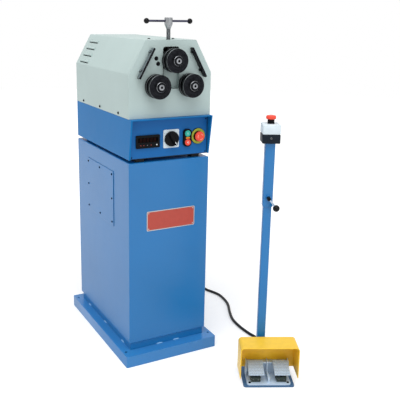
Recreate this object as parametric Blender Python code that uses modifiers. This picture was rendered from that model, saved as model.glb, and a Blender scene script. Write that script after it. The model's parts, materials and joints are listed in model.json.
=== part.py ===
"""Angle roll bender on a cabinet, with a foot station on a cable.

Metres, +Z up, -Y to the front. The origin is the centre of the base tray's underside.
The foot station has its own frame: its origin is the middle of its plate's front edge.
"""

import math

import bmesh
import bpy
from mathutils import Matrix, Vector

# Clearances
seat_gap = 0.0003
running_gap = 0.0004
overrun = 0.002

# Base tray
tray_width = 0.398
tray_depth = 0.638
tray_height = 0.046
tray_sheet = 0.004
tray_corner_radius = 0.006
anchor_hole_radius = 0.0055
anchor_side_setback = 0.014
anchor_front_setback = 0.042
anchor_rear_setback = 0.035

# Cabinet
cabinet_width = 0.338
cabinet_front = -0.277
cabinet_back = 0.287
cabinet_height = 0.756
cabinet_sheet = 0.0025
cabinet_edge_radius = 0.0025
plinth_height = 0.030
plinth_inset = 0.007
cable_pass_radius = 0.030
cable_pass_y = 0.180

# Cover on the cabinet's left side
cover_depth = 0.290
cover_height = 0.225
cover_middle_y = 0.0195
cover_middle_z = 0.629
cover_sheet = 0.002
cover_lap = 0.020
cover_corner_radius = 0.004

# Electrical plate inside the cabinet, on the wall opposite the cover
electrics_depth = 0.240
electrics_height = 0.190
electrics_sheet = 0.003
standoff_length = 0.020
standoff_radius = 0.006
standoff_inset = 0.020
contactor_depth = 0.075
contactor_width = 0.045
contactor_height = 0.085
transformer_depth = 0.085
transformer_width = 0.075
transformer_height = 0.095
electrics_spacing = 0.018

# Riser pads between cabinet and console
riser_height = 0.013
riser_width = 0.034
riser_depth = 0.040
riser_side_setback = 0.035
riser_end_setback = 0.015
riser_edge_radius = 0.0015

# Console
console_height = 0.152
console_sheet = 0.003
console_cheek = 0.006
console_lean = 0.024
console_ledge = 0.0035
panel_setback = 0.007
console_edge_radius = 0.0012

# Control panel and what is on it: x of each middle, and height above the console's base
panel_sheet = 0.002
panel_reveal = 0.0006
meter_width = 0.096
meter_height = 0.048
meter_proud = 0.006
meter_body_width = 0.090
meter_body_height = 0.043
meter_body_depth = 0.045
meter_x = -0.091
meter_rise = 0.065
meter_window_width = 0.082
meter_window_height = 0.018
meter_window_drop = 0.009
meter_window_depth = 0.0015
meter_corner_radius = 0.003
switch_plate_width = 0.066
switch_plate_height = 0.070
switch_plate_thickness = 0.003
switch_x = 0.006
switch_rise = 0.069
switch_plate_corner = 0.004
knob_radius = 0.029
knob_base_height = 0.010
knob_skirt = 0.002
grip_width = 0.014
grip_height = 0.013
grip_edge_radius = 0.003
switch_rest_deg = -30.0
switch_shaft_radius = 0.006
switch_shaft_length = 0.018
bezel_width = 0.034
bezel_height = 0.068
bezel_proud = 0.010
bezel_x = 0.073
bezel_rise = 0.068
bezel_round_share = 0.42
button_radius = 0.012
button_spacing = 0.034
button_depth = 0.0055
button_edge = 0.001
button_stem_radius = 0.005
button_stem_length = 0.015
start_proud = 0.001
stop_proud = 0.003
stop_x = 0.121
stop_rise = 0.071
collar_radius = 0.031
collar_thickness = 0.004
collar_edge = 0.0015
stop_bore_radius = 0.013
stop_skirt_radius = 0.0125
stop_skirt_sink = 0.006
stop_stem_radius = 0.008
stop_stem_length = 0.012
mushroom_radius = 0.0195
mushroom_height = 0.0115
mushroom_edge = 0.005
mushroom_neck = 0.002
mushroom_crown = 0.0008
mushroom_stand = 0.0115
mushroom_socket_depth = 0.006

# Head: plate, cover and rear frame plate
head_height = 0.2815
head_wall_height = 0.161
head_top_width = 0.206
head_corner_radius = 0.005
head_sheet = 0.002
plate_thickness = 0.012
slot_width = 0.063
slot_below_carriage = 0.0706
slot_top_setback = 0.0255
slot_corner_radius = 0.009
index_hole_radius = 0.0065
index_hole_setback = 0.0655
index_hole_x = -0.060
index_hole_pitch_x = 0.0073
index_hole_pitch_z = 0.019
bearing_boss_radius = 0.027
bearing_boss_length = 0.024
rear_plate_width = 0.280
rear_plate_top_setback = 0.0765
rear_plate_setback = 0.145
louvre_row_shares = (0.226, 0.446, 0.667, 0.887)
louvre_length = 0.097
louvre_slot = 0.004
louvre_lip_radius = 0.005
louvre_rear_setback = 0.038

# Rolls and shafts
roll_radius = 0.044
roll_width = 0.040
roll_stand_off = 0.012
front_flange = 0.0135
groove_width = 0.012
groove_depth = 0.008
roll_chamfer = 0.0015
roll_boss_radius = 0.0185
roll_boss_height = 0.008
roll_recess_radius = 0.013
roll_recess_depth = 0.003
shaft_radius = 0.015
shaft_shoulder_radius = 0.022
shaft_web = 0.004
bolt_radius = 0.005
bolt_head_radius = 0.0105
bolt_head_height = 0.0075
bolt_chamfer = 0.001
socket_radius = 0.0045
socket_depth = 0.005
lower_roll_spacing = 0.1356
lower_roll_rise_share = 0.4192
top_roll_rise_share = 0.7446
retainer_radius = 0.020
retainer_length = 0.007

# Gear train behind the rear plate
gear_module = 0.0035
gear_teeth = 30
pinion_teeth = 15
gear_width = 0.018
pinion_width = 0.022
gear_setback = 0.004
tooth_backlash = 0.0004
root_clearance_share = 0.25
pressure_angle_deg = 20.0
pinion_shaft_radius = 0.012

# Gearmotor
gearbox_width = 0.124
gearbox_depth = 0.100
gearbox_rise = 0.140
gearbox_setback = 0.018
gearbox_foot_width = 0.160
gearbox_foot_height = 0.010
gearbox_corner_radius = 0.016
gearbox_bore_depth = 0.020
motor_flange_radius = 0.050
motor_flange_length = 0.014
motor_radius = 0.053
motor_length = 0.130
fan_cover_radius = 0.056
fan_cover_length = 0.050
fan_cover_edge = 0.010
terminal_box_width = 0.060
terminal_box_depth = 0.070
terminal_box_height = 0.030
motor_sink = 0.006

# Carriage of the top roll, its rails, shield, nut and screw
carriage_side_gap = 0.0005
carriage_depth = 0.050
carriage_proud = 0.002
carriage_below_roll = 0.032
carriage_above_roll = 0.0294
carriage_chamfer = 0.001
tongue_depth = 0.010
tongue_reach = 0.005
tongue_setback = 0.020
tongue_end_setback = 0.003
rail_thickness = 0.0225
rail_boss_clearance = 0.003
rail_nut_clearance = 0.0042
shield_sheet = 0.002
shield_length = 0.100
nut_width = 0.090
nut_height = 0.013
nut_depth = 0.033
screw_setback = 0.025
screw_radius = 0.008
screw_hole_margin = 0.004
screw_seat_depth = 0.009
thrust_collar_radius = 0.012
thrust_collar_height = 0.005
hub_radius = 0.015
hub_height = 0.0245
hub_taper = 0.015
hub_chamfer = 0.0015
hub_rise = 0.054
handle_bar_radius = 0.004
handle_span = 0.176
handle_ball_radius = 0.010
ball_bore_depth = 0.008

# Guide bars in front of the plate
guide_bar_thickness = 0.008
guide_bar_depth = 0.018
guide_bar_stand_off = 0.006
guide_bar_top_x = 0.077
guide_bar_top_setback = 0.0275
guide_bar_foot_x = 0.136
guide_bar_foot_setback = 0.0145
guide_post_radius = 0.007
guide_post_shares = (0.14, 0.76)
guide_bar_edge_radius = 0.0012

# Cable glands on the cabinet
gland_radius = 0.012
gland_flange_radius = 0.015
gland_flange = 0.004
gland_body = 0.014
gland_nose = 0.008
gland_lip = 0.002
gland_height = 0.100
foot_gland_y = 0.235
mains_gland_x = -0.100

# Foot cable
cable_radius = 0.0062
cable_floor_gap = 0.0003
coil_middle_x = 0.335
coil_middle_y = 0.200
coil_outer_radius = 0.075
coil_turns_per_layer = 2.0
coil_pitch = 0.0142
coil_layer_rise = 0.0131
coil_points_per_turn = 24
cable_step_share = 2.5
route_samples = 40
# Route of the cable's free stretches, from gland to coil and from coil to pedals
lead_route = (
    (0.236, 0.241, 0.080),
    (0.262, 0.257, 0.034),
    (0.290, 0.271, 0.0085),
)
floor_route = (
    (0.3850, 0.2680, 0.0185),
    (0.4190, 0.2400, 0.0100),
    (0.4380, 0.2060, 0.0065),
    (0.4437, 0.1719, 0.0065),
    (0.4600, 0.1280, 0.0065),
    (0.4671, 0.0817, 0.0065),
    (0.4526, -0.0040, 0.0065),
    (0.4131, -0.0890, 0.0065),
    (0.3861, -0.1579, 0.0065),
    (0.3770, -0.2318, 0.0065),
    (0.3787, -0.2984, 0.0065),
    (0.3832, -0.3287, 0.0065),
    (0.3905, -0.3900, 0.0065),
    (0.3850, -0.4550, 0.0080),
    (0.3560, -0.5150, 0.0140),
)

# Foot station: place and turn, then sizes in its own frame
station_x = 0.2195
station_y = -0.6766
station_turn_deg = -26.1
station_plate_width = 0.190
station_plate_depth = 0.156
station_plate_thickness = 0.006
station_plate_corner = 0.008
pedal_base_width = 0.163
pedal_base_front = 0.0037
pedal_base_back = 0.094
pedal_base_flange = 0.006
pedal_base_corner = 0.008
pedal_base_hole_radius = 0.0035
pedal_base_hole_inset = 0.010
centre_rib_width = 0.006
centre_rib_height = 0.020
switch_block_width = 0.036
switch_block_front = 0.018
switch_block_depth = 0.036
switch_block_height = 0.018
back_wall_depth = 0.014
back_wall_height = 0.050
ear_width = 0.004
ear_clearance = 0.0005
ear_radius = 0.009
pedal_pin_radius = 0.004
pedal_pin_y = 0.0700
pedal_pin_z = 0.0620
pedal_inner_x = 0.0194
pedal_outer_x = 0.0770
pedal_front_y = 0.0012
pedal_front_z = 0.0508
pedal_back_y = 0.0636
pedal_back_z = 0.0751
pedal_thickness = 0.004
pedal_rib_count = 8
pedal_rib_width = 0.0028
pedal_rib_height = 0.0014
pedal_skirt = 0.011
pedal_skirt_thickness = 0.003
pedal_barrel_radius = 0.0075
pedal_web = 0.014
hood_width = 0.218
hood_front = 0.0078
hood_bottom = 0.032
hood_top = 0.155
hood_wall = 0.003
hood_corner_radius = 0.014
pedal_gland_x = 0.045
pedal_gland_z = 0.0195
pedal_gland_radius = 0.009
pedal_gland_length = 0.010

# Post, sleeve and clamp lever
post_x = -0.019
post_y = 0.130
post_width = 0.030
post_wall = 0.0025
post_corner_radius = 0.003
post_height = 0.874
sleeve_bottom = 0.665
sleeve_wall = 0.0025
sleeve_corner_radius = 0.0035
clamp_height = 0.700
clamp_boss_radius = 0.009
clamp_boss_length = 0.008
lever_hub_radius = 0.008
lever_hub_length = 0.014
lever_arm_radius = 0.004
lever_reach_x = 0.027
lever_drop = 0.033
lever_lean = 0.010
lever_ball_radius = 0.0125

# Stop box on the sleeve
stop_box_width = 0.064
stop_box_bottom = 0.901
stop_box_base = 0.032
stop_box_lid = 0.036
stop_box_corner_radius = 0.004
station_mushroom_radius = 0.018
station_mushroom_height = 0.013
station_mushroom_stand = 0.016

# Facets
fine_steps = 32
round_steps = 20
ball_steps = 16
small_steps = 12
corner_steps = 2

# Looks: colour, roughness, metallic
looks = {
    "blue paint": ((0.047, 0.214, 0.515), 0.38, 0.0),
    "grey-green paint": ((0.43, 0.52, 0.51), 0.42, 0.0),
    "black steel": ((0.012, 0.012, 0.014), 0.42, 0.6),
    "bright steel": ((0.62, 0.63, 0.64), 0.28, 1.0),
    "turned steel": ((0.30, 0.31, 0.31), 0.36, 1.0),
    "cast grey": ((0.40, 0.45, 0.54), 0.55, 0.2),
    "black plastic": ((0.010, 0.010, 0.011), 0.40, 0.0),
    "light plastic": ((0.72, 0.76, 0.78), 0.45, 0.0),
    "rubber": ((0.015, 0.015, 0.016), 0.80, 0.0),
    "yellow plastic": ((0.92, 0.61, 0.09), 0.45, 0.0),
    "red plastic": ((0.78, 0.05, 0.03), 0.35, 0.0),
    "green plastic": ((0.03, 0.45, 0.22), 0.35, 0.0),
    "motor grey": ((0.10, 0.12, 0.14), 0.55, 0.1),
    "cable jacket": ((0.012, 0.012, 0.013), 0.60, 0.0),
}

# Levels and planes that follow from the sizes above
cabinet_base = tray_height
cabinet_top = cabinet_base + cabinet_height
console_base = cabinet_top + riser_height
console_top = console_base + console_height
head_base = console_top
head_shoulder = head_base + head_wall_height
head_top = head_base + head_height
panel_front = cabinet_front + panel_setback
plate_front = cabinet_front
plate_back = plate_front + plate_thickness
half_width = cabinet_width / 2
lower_roll_x = lower_roll_spacing / 2
lower_roll_z = head_base + head_height * lower_roll_rise_share
top_roll_z = head_base + head_height * top_roll_rise_share
roll_back = plate_front - roll_stand_off
roll_front = roll_back - roll_width
rear_plate_front = plate_back + rear_plate_setback
rear_plate_back = rear_plate_front + plate_thickness
gear_front = rear_plate_back + gear_setback
gear_reach = gear_module * (gear_teeth + pinion_teeth) / 2
pinion_z = lower_roll_z - math.sqrt(gear_reach**2 - lower_roll_x**2)
pinion_front = gear_front - (pinion_width - gear_width) / 2
gearbox_front = pinion_front + pinion_width + gearbox_setback
gearbox_back = gearbox_front + gearbox_depth
screw_y = plate_front + screw_setback
carriage_half = slot_width / 2 - carriage_side_gap
carriage_front = plate_front - carriage_proud
carriage_back = carriage_front + carriage_depth
carriage_bottom = top_roll_z - carriage_below_roll
carriage_top = top_roll_z + carriage_above_roll
nut_top = head_top - head_sheet - seat_gap
nut_bottom = nut_top - nut_height
hood_back = pedal_base_back + seat_gap + hood_wall
sleeve_width = post_width + 2 * (running_gap + sleeve_wall)
sleeve_top = stop_box_bottom - seat_gap
station_turn = math.radians(station_turn_deg)
gland_length = gland_flange + gland_body + gland_nose
cable_diameter = 2 * cable_radius
cable_level = cable_radius + cable_floor_gap

TO_FRONT = Vector((0, -1, 0))
TO_BACK = Vector((0, 1, 0))
TO_RIGHT = Vector((1, 0, 0))
UP = Vector((0, 0, 1))
FACING_FRONT = Matrix.Rotation(math.pi / 2, 4, "X")
FACING_RIGHT = Matrix.Rotation(math.pi / 2, 4, "Z") @ Matrix.Rotation(math.pi / 2, 4, "X")
FACING_UP = Matrix.Identity(4)


def clear_scene():
    """Remove what the file opened with."""
    for old in list(bpy.data.objects):
        bpy.data.objects.remove(old, do_unlink=True)


def new_collection(name):
    made = bpy.data.collections.new(name)
    bpy.context.scene.collection.children.link(made)
    return made


clear_scene()
PARTS = new_collection("angle_roll_bender")
CUTTERS = new_collection("cutters")


class Carrier:
    """An empty that carries pieces. Its place is in the coordinates of its group."""

    def __init__(self, name, at=(0, 0, 0), parent=None):
        self.at = Vector(at)
        self.empty = bpy.data.objects.new(name, None)
        PARTS.objects.link(self.empty)
        if parent is None:
            self.empty.location = self.at
        else:
            self.empty.parent = parent.empty
            self.empty.location = self.at - parent.at


def paint(made, look):
    """Give a piece a material of its own."""
    colour, roughness, metallic = looks[look]
    finish = bpy.data.materials.new(made.name + "_finish")
    finish.use_nodes = True
    shader = finish.node_tree.nodes["Principled BSDF"]
    shader.inputs["Base Color"].default_value = (*colour, 1.0)
    shader.inputs["Roughness"].default_value = roughness
    shader.inputs["Metallic"].default_value = metallic
    finish.diffuse_color = (*colour, 1.0)
    made.data.materials.append(finish)


def put(made, carrier, at, turn, look):
    """Seat a piece on its carrier. Without a look it is a cutter or an addition to another piece."""
    made.parent = carrier.empty
    made.matrix_local = Matrix.Translation(Vector(at) - carrier.at) @ turn
    if look is None:
        CUTTERS.objects.link(made)
        made.hide_render = True
        made.display_type = "WIRE"
    else:
        PARTS.objects.link(made)
        paint(made, look)
    return made


def along(axis):
    """The turn that takes +Z to an axis."""
    return axis.to_track_quat("Z", "Y").to_matrix().to_4x4()


def object_from(shape, name):
    """A new object from an edited mesh."""
    mesh = bpy.data.meshes.new(name)
    shape.to_mesh(mesh)
    shape.free()
    return bpy.data.objects.new(name, mesh)


def smooth(made, angle_deg=35.0):
    """Shade round faces smooth and keep real corners sharp."""
    made.data.shade_smooth()
    made.data.set_sharp_from_angle(angle=math.radians(angle_deg))


def box(name, low, high, carrier, look=None):
    low = Vector(low)
    high = Vector(high)
    shape = bmesh.new()
    bmesh.ops.create_cube(shape, size=1.0)
    bmesh.ops.scale(shape, vec=high - low, verts=shape.verts)
    return put(object_from(shape, name), carrier, (low + high) / 2, FACING_UP, look)


def rod(name, radius, start, end, carrier, look=None, steps=round_steps):
    start = Vector(start)
    end = Vector(end)
    shape = bmesh.new()
    bmesh.ops.create_cone(
        shape,
        cap_ends=True,
        segments=steps,
        radius1=radius,
        radius2=radius,
        depth=(end - start).length,
    )
    made = put(object_from(shape, name), carrier, (start + end) / 2, along(end - start), look)
    smooth(made)
    return made


def ball(name, radius, at, carrier, look=None, steps=ball_steps):
    shape = bmesh.new()
    bmesh.ops.create_uvsphere(shape, u_segments=steps, v_segments=steps // 2, radius=radius)
    made = put(object_from(shape, name), carrier, at, FACING_UP, look)
    smooth(made, 60.0)
    return made


def turned(name, profile, at, axis, carrier, look=None, steps=round_steps):
    """Revolve (radius, height) points, listed from the top down, about an axis through a point.

    A profile that leaves the axis at both ends is closed into a ring.
    """
    mesh = bpy.data.meshes.new(name)
    edges = [(n, n + 1) for n in range(len(profile) - 1)]
    if profile[0][0] > 0 and profile[-1][0] > 0:
        edges.append((len(profile) - 1, 0))
    mesh.from_pydata([(radius, 0, height) for radius, height in profile], edges, [])
    made = put(bpy.data.objects.new(name, mesh), carrier, at, along(axis), look)
    screw = made.modifiers.new("Turn", "SCREW")
    screw.axis = "Z"
    screw.angle = math.tau
    screw.steps = steps
    screw.render_steps = steps
    screw.use_merge_vertices = True
    screw.merge_threshold = seat_gap / 30
    screw.use_smooth_shade = False
    return made


def plate(name, outlines, thickness, at, turn, carrier, look=None):
    """Extrude flat outlines, both ways from a point; outlines inside the first are openings."""
    curve = bpy.data.curves.new(name, "CURVE")
    curve.dimensions = "2D"
    curve.fill_mode = "BOTH"
    curve.extrude = thickness / 2
    for outline in outlines:
        spline = curve.splines.new("POLY")
        spline.points.add(len(outline) - 1)
        for point, (x, y) in zip(spline.points, outline):
            point.co = (x, y, 0, 1)
        spline.use_cyclic_u = True
    return put(bpy.data.objects.new(name, curve), carrier, at, turn, look)


def tube(name, points, radius, carrier, look, resolution):
    """A round tube along a line of points, with filled ends."""
    curve = bpy.data.curves.new(name, "CURVE")
    curve.dimensions = "3D"
    curve.bevel_depth = radius
    curve.bevel_resolution = resolution
    curve.use_fill_caps = True
    spline = curve.splines.new("POLY")
    spline.points.add(len(points) - 1)
    for point, place in zip(spline.points, points):
        point.co = (*place, 1)
    return put(bpy.data.objects.new(name, curve), carrier, (0, 0, 0), FACING_UP, look)


def as_mesh(made):
    """Turn a curve into a welded mesh, so that it can be cut or joined."""
    if made.type != "CURVE":
        return made
    bpy.context.view_layer.update()
    graph = bpy.context.evaluated_depsgraph_get()
    mesh = bpy.data.meshes.new_from_object(made.evaluated_get(graph))
    shape = bmesh.new()
    shape.from_mesh(mesh)
    bmesh.ops.remove_doubles(shape, verts=shape.verts, dist=seat_gap / 30)
    shape.to_mesh(mesh)
    shape.free()
    name = made.name
    homes = list(made.users_collection)
    solid = bpy.data.objects.new(name + "_solid", mesh)
    for home in homes:
        home.objects.link(solid)
    solid.parent = made.parent
    solid.matrix_world = made.matrix_world
    solid.hide_render = made.hide_render
    solid.display_type = made.display_type
    bpy.data.objects.remove(made, do_unlink=True)
    solid.name = name
    return solid


def combine(made, others, operation):
    made = as_mesh(made)
    for other in others:
        other = as_mesh(other)
        step = made.modifiers.new(other.name, "BOOLEAN")
        step.operation = operation
        step.solver = "EXACT"
        step.object = other
    return made


def cut(made, *cutters):
    return combine(made, cutters, "DIFFERENCE")


def join(made, *added):
    return combine(made, added, "UNION")


def ease(made, width, segments=1, angle_deg=40.0):
    """Round the sharp edges of a piece."""
    made = as_mesh(made)
    step = made.modifiers.new("Ease", "BEVEL")
    step.width = width
    step.segments = segments
    step.limit_method = "ANGLE"
    step.angle_limit = math.radians(angle_deg)
    step.harden_normals = False
    return made


def arc(middle, radius, start, end, steps):
    """Points of an arc, with its angles in radians."""
    turns = [start + (end - start) * n / steps for n in range(steps + 1)]
    return [(middle[0] + radius * math.cos(a), middle[1] + radius * math.sin(a)) for a in turns]


def circle(radius, middle=(0, 0), steps=round_steps):
    return arc(middle, radius, 0, math.tau, steps)[:-1]


def rounded(corners, radii, steps=corner_steps):
    """An outline through corners, each with a tangent arc of its own radius."""
    outline = []
    for n, corner in enumerate(corners):
        here = Vector(corner)
        before = (Vector(corners[n - 1]) - here).normalized()
        after = (Vector(corners[(n + 1) % len(corners)]) - here).normalized()
        if radii[n] == 0:
            outline.append(tuple(here))
            continue
        half = before.angle(after) / 2
        middle = here + (before + after).normalized() * radii[n] / math.sin(half)
        first = here + before * radii[n] / math.tan(half) - middle
        last = here + after * radii[n] / math.tan(half) - middle
        start = math.atan2(first.y, first.x)
        sweep = (math.atan2(last.y, last.x) - start + math.pi) % math.tau - math.pi
        outline += arc(middle, radii[n], start, start + sweep, steps)
    return outline


def rounded_rectangle(width, height, radius, middle=(0, 0), steps=corner_steps):
    x, y = width / 2, height / 2
    corners = [
        (middle[0] - x, middle[1] - y),
        (middle[0] + x, middle[1] - y),
        (middle[0] + x, middle[1] + y),
        (middle[0] - x, middle[1] + y),
    ]
    return rounded(corners, [radius] * 4, steps)


def house(width, top_width, base, shoulder, top, radius, inset=0.0):
    """The head's section: upright walls, two sloping shoulders and a flat top."""
    slope = math.atan2((width - top_width) / 2, top - shoulder)
    shoulder_drop = inset * math.tan(slope / 2)
    top_shift = inset * math.tan(math.pi / 4 - slope / 2)
    x = width / 2 - inset
    top_x = top_width / 2 - top_shift
    corners = [
        (-x, base),
        (x, base),
        (x, shoulder - shoulder_drop),
        (top_x, top - inset),
        (-top_x, top - inset),
        (-x, shoulder - shoulder_drop),
    ]
    return rounded(corners, [0, 0, radius, radius, radius, radius])


def gear_outline(teeth, phase):
    """Involute teeth, with a tooth's middle at the phase angle."""
    pressure = math.radians(pressure_angle_deg)
    pitch = gear_module * teeth / 2
    base = pitch * math.cos(pressure)
    tip = pitch + gear_module
    root = pitch - gear_module * (1 + root_clearance_share)
    involute = math.tan(pressure) - pressure
    half_tooth = math.pi / (2 * teeth) - tooth_backlash / (4 * pitch)

    def flank(radius):
        """Half the tooth's angle at a radius on the flank."""
        unwound = math.acos(min(1.0, base / radius))
        return half_tooth + involute - (math.tan(unwound) - unwound)

    outline = []
    for tooth in range(teeth):
        middle = phase + math.tau * tooth / teeth
        rising = [(radius, -flank(radius)) for radius in (root, pitch, tip)]
        falling = [(radius, -angle) for radius, angle in reversed(rising)]
        for radius, angle in rising + falling:
            outline.append((radius * math.cos(middle + angle), radius * math.sin(middle + angle)))
    return outline


# The machine and the station, the two things that stand on the floor
machine = Carrier("machine")
station = Carrier("foot_station")
station.empty.location = (station_x, station_y, 0)
station.empty.rotation_euler = (0, 0, station_turn)


def base_tray():
    """Hollow box of folded sheet, with four anchor holes beside the cabinet's corners."""
    outline = rounded_rectangle(tray_width, tray_depth, tray_corner_radius)
    tray = plate(
        "base_tray", [outline], tray_height, (0, 0, tray_height / 2), FACING_UP, machine, "blue paint"
    )
    hollow = box(
        "tray_hollow",
        (-tray_width / 2 + tray_sheet, -tray_depth / 2 + tray_sheet, tray_sheet),
        (tray_width / 2 - tray_sheet, tray_depth / 2 - tray_sheet, tray_height - tray_sheet),
        machine,
    )
    anchors = []
    anchor_x = tray_width / 2 - anchor_side_setback
    for side in (-1, 1):
        for y in (-tray_depth / 2 + anchor_front_setback, tray_depth / 2 - anchor_rear_setback):
            anchors.append(
                rod(
                    "anchor_hole",
                    anchor_hole_radius,
                    (side * anchor_x, y, -overrun),
                    (side * anchor_x, y, tray_height + overrun),
                    machine,
                    steps=8,
                )
            )
    cut(tray, hollow, *anchors)


def cabinet_shell():
    """Sheet cabinet on a recessed plinth, open below, with an opening behind its side cover."""
    shell = box(
        "cabinet_shell",
        (-half_width, cabinet_front, cabinet_base + plinth_height),
        (half_width, cabinet_back, cabinet_top),
        machine,
        "blue paint",
    )
    plinth = box(
        "plinth",
        (-half_width + plinth_inset, cabinet_front + plinth_inset, cabinet_base + seat_gap),
        (half_width - plinth_inset, cabinet_back - plinth_inset, cabinet_top - plinth_height),
        machine,
    )
    inside = plinth_inset + cabinet_sheet
    room = box(
        "cabinet_room",
        (-half_width + inside, cabinet_front + inside, cabinet_base - overrun),
        (half_width - inside, cabinet_back - inside, cabinet_base + plinth_height + cabinet_sheet),
        machine,
    )
    upper_room = box(
        "cabinet_upper_room",
        (
            -half_width + cabinet_sheet,
            cabinet_front + cabinet_sheet,
            cabinet_base + plinth_height + cabinet_sheet / 2,
        ),
        (half_width - cabinet_sheet, cabinet_back - cabinet_sheet, cabinet_top - cabinet_sheet),
        machine,
    )
    access = box(
        "access_opening",
        (
            -half_width - overrun,
            cover_middle_y - cover_depth / 2 + cover_lap,
            cover_middle_z - cover_height / 2 + cover_lap,
        ),
        (
            -half_width + cabinet_sheet + overrun,
            cover_middle_y + cover_depth / 2 - cover_lap,
            cover_middle_z + cover_height / 2 - cover_lap,
        ),
        machine,
    )
    cable_pass = rod(
        "cable_pass",
        cable_pass_radius,
        (0, cable_pass_y, cabinet_top - cabinet_sheet - overrun),
        (0, cable_pass_y, cabinet_top + overrun),
        machine,
        steps=small_steps,
    )
    shell = ease(shell, cabinet_edge_radius)
    join(shell, plinth)
    cut(shell, room, upper_room, access, cable_pass)


def side_access_cover():
    """Flat screwed cover on the cabinet's left side."""
    outline = rounded_rectangle(cover_depth, cover_height, cover_corner_radius)
    plate(
        "side_access_cover",
        [outline],
        cover_sheet,
        (-half_width - seat_gap - cover_sheet / 2, cover_middle_y, cover_middle_z),
        FACING_RIGHT,
        machine,
        "blue paint",
    )


def electrics_plate():
    """Mounting plate with contactor and transformer, on standoffs inside the right wall."""
    wall = half_width - cabinet_sheet - seat_gap
    face = wall - standoff_length
    back = face - electrics_sheet
    low_y = cover_middle_y - electrics_depth / 2
    low_z = cover_middle_z - electrics_height / 2
    board = box(
        "electrics_plate",
        (back, low_y, low_z),
        (face, low_y + electrics_depth, low_z + electrics_height),
        machine,
        "motor grey",
    )
    standoffs = []
    for y in (low_y + standoff_inset, low_y + electrics_depth - standoff_inset):
        for z in (low_z + standoff_inset, low_z + electrics_height - standoff_inset):
            start = (back + electrics_sheet / 2, y, z)
            standoffs.append(rod("standoff", standoff_radius, start, (wall, y, z), machine, steps=8))
    contactor_y = low_y + standoff_inset
    contactor_z = low_z + electrics_height / 2 - contactor_height / 2
    contactor = box(
        "contactor",
        (back - contactor_depth, contactor_y, contactor_z),
        (back + electrics_sheet / 2, contactor_y + contactor_width, contactor_z + contactor_height),
        machine,
    )
    transformer_y = contactor_y + contactor_width + electrics_spacing
    transformer_z = low_z + electrics_height / 2 - transformer_height / 2
    transformer = box(
        "transformer",
        (back - transformer_depth, transformer_y, transformer_z),
        (
            back + electrics_sheet / 2,
            transformer_y + transformer_width,
            transformer_z + transformer_height,
        ),
        machine,
    )
    join(board, *standoffs, contactor, transformer)


def riser_pads():
    """Black pads that carry the console clear of the cabinet's top."""
    for side, side_name in ((-1, "left"), (1, "right")):
        outer = half_width - riser_side_setback
        x = sorted((side * outer, side * (outer - riser_width)))
        front = cabinet_front + riser_end_setback
        back = cabinet_back - riser_end_setback
        for end_name, low, high in (
            ("front", front, front + riser_depth),
            ("rear", back - riser_depth, back),
        ):
            pad = box(
                f"riser_pad_{end_name}_{side_name}",
                (x[0], low, cabinet_top + seat_gap),
                (x[1], high, console_base - seat_gap),
                machine,
                "rubber",
            )
            ease(pad, riser_edge_radius)


def console_housing():
    """Housing under the head: cheeks that lean forward, a thin ledge and a recessed front."""
    corners = [
        (cabinet_front, console_base),
        (cabinet_back, console_base),
        (cabinet_back, console_top - seat_gap),
        (cabinet_front - console_lean, console_top - seat_gap),
    ]
    housing = plate(
        "console_housing", [corners], cabinet_width, (0, 0, 0), FACING_RIGHT, machine, "blue paint"
    )
    recess_back = panel_front + panel_sheet + seat_gap
    ceiling = console_top - console_ledge
    recess = box(
        "console_recess",
        (-half_width + console_cheek, cabinet_front - console_lean - overrun, console_base - overrun),
        (half_width - console_cheek, recess_back, ceiling),
        machine,
    )
    frame_back = recess_back + console_sheet
    room = box(
        "console_room",
        (-half_width + console_sheet, frame_back, console_base + console_sheet),
        (half_width - console_sheet, cabinet_back - console_sheet, ceiling),
        machine,
    )
    border = console_cheek + 2 * console_sheet
    doorway = box(
        "console_doorway",
        (-half_width + border, recess_back - overrun, console_base + border),
        (half_width - border, frame_back + overrun, ceiling - border),
        machine,
    )
    cable_pass = rod(
        "console_cable_pass",
        cable_pass_radius,
        (0, cable_pass_y, console_base - overrun),
        (0, cable_pass_y, console_base + console_sheet + overrun),
        machine,
        steps=small_steps,
    )
    housing = ease(housing, console_edge_radius)
    cut(housing, recess, room, doorway, cable_pass)


def panel_place(x, rise):
    """A place on the control panel, as x and z."""
    return (x, console_base + rise)


def control_panel():
    """Flat panel with the cut-outs of its meter, switch, buttons and stop."""
    half = half_width - console_cheek - panel_reveal
    low = console_base + panel_reveal
    high = console_top - console_ledge - panel_reveal
    cut_out = meter_body_width + 2 * running_gap, meter_body_height + 2 * running_gap
    outlines = [
        [(-half, low), (half, low), (half, high), (-half, high)],
        rounded_rectangle(*cut_out, 0, panel_place(meter_x, meter_rise)),
        circle(switch_shaft_radius + running_gap, panel_place(switch_x, switch_rise), small_steps),
        circle(stop_bore_radius, panel_place(stop_x, stop_rise), small_steps),
    ]
    for side in (-1, 1):
        rise = bezel_rise + side * button_spacing / 2
        middle = panel_place(bezel_x, rise)
        outlines.append(circle(button_stem_radius + running_gap, middle, small_steps))
    plate(
        "control_panel",
        outlines,
        panel_sheet,
        (0, panel_front + panel_sheet / 2, 0),
        FACING_FRONT,
        machine,
        "blue paint",
    )


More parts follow.
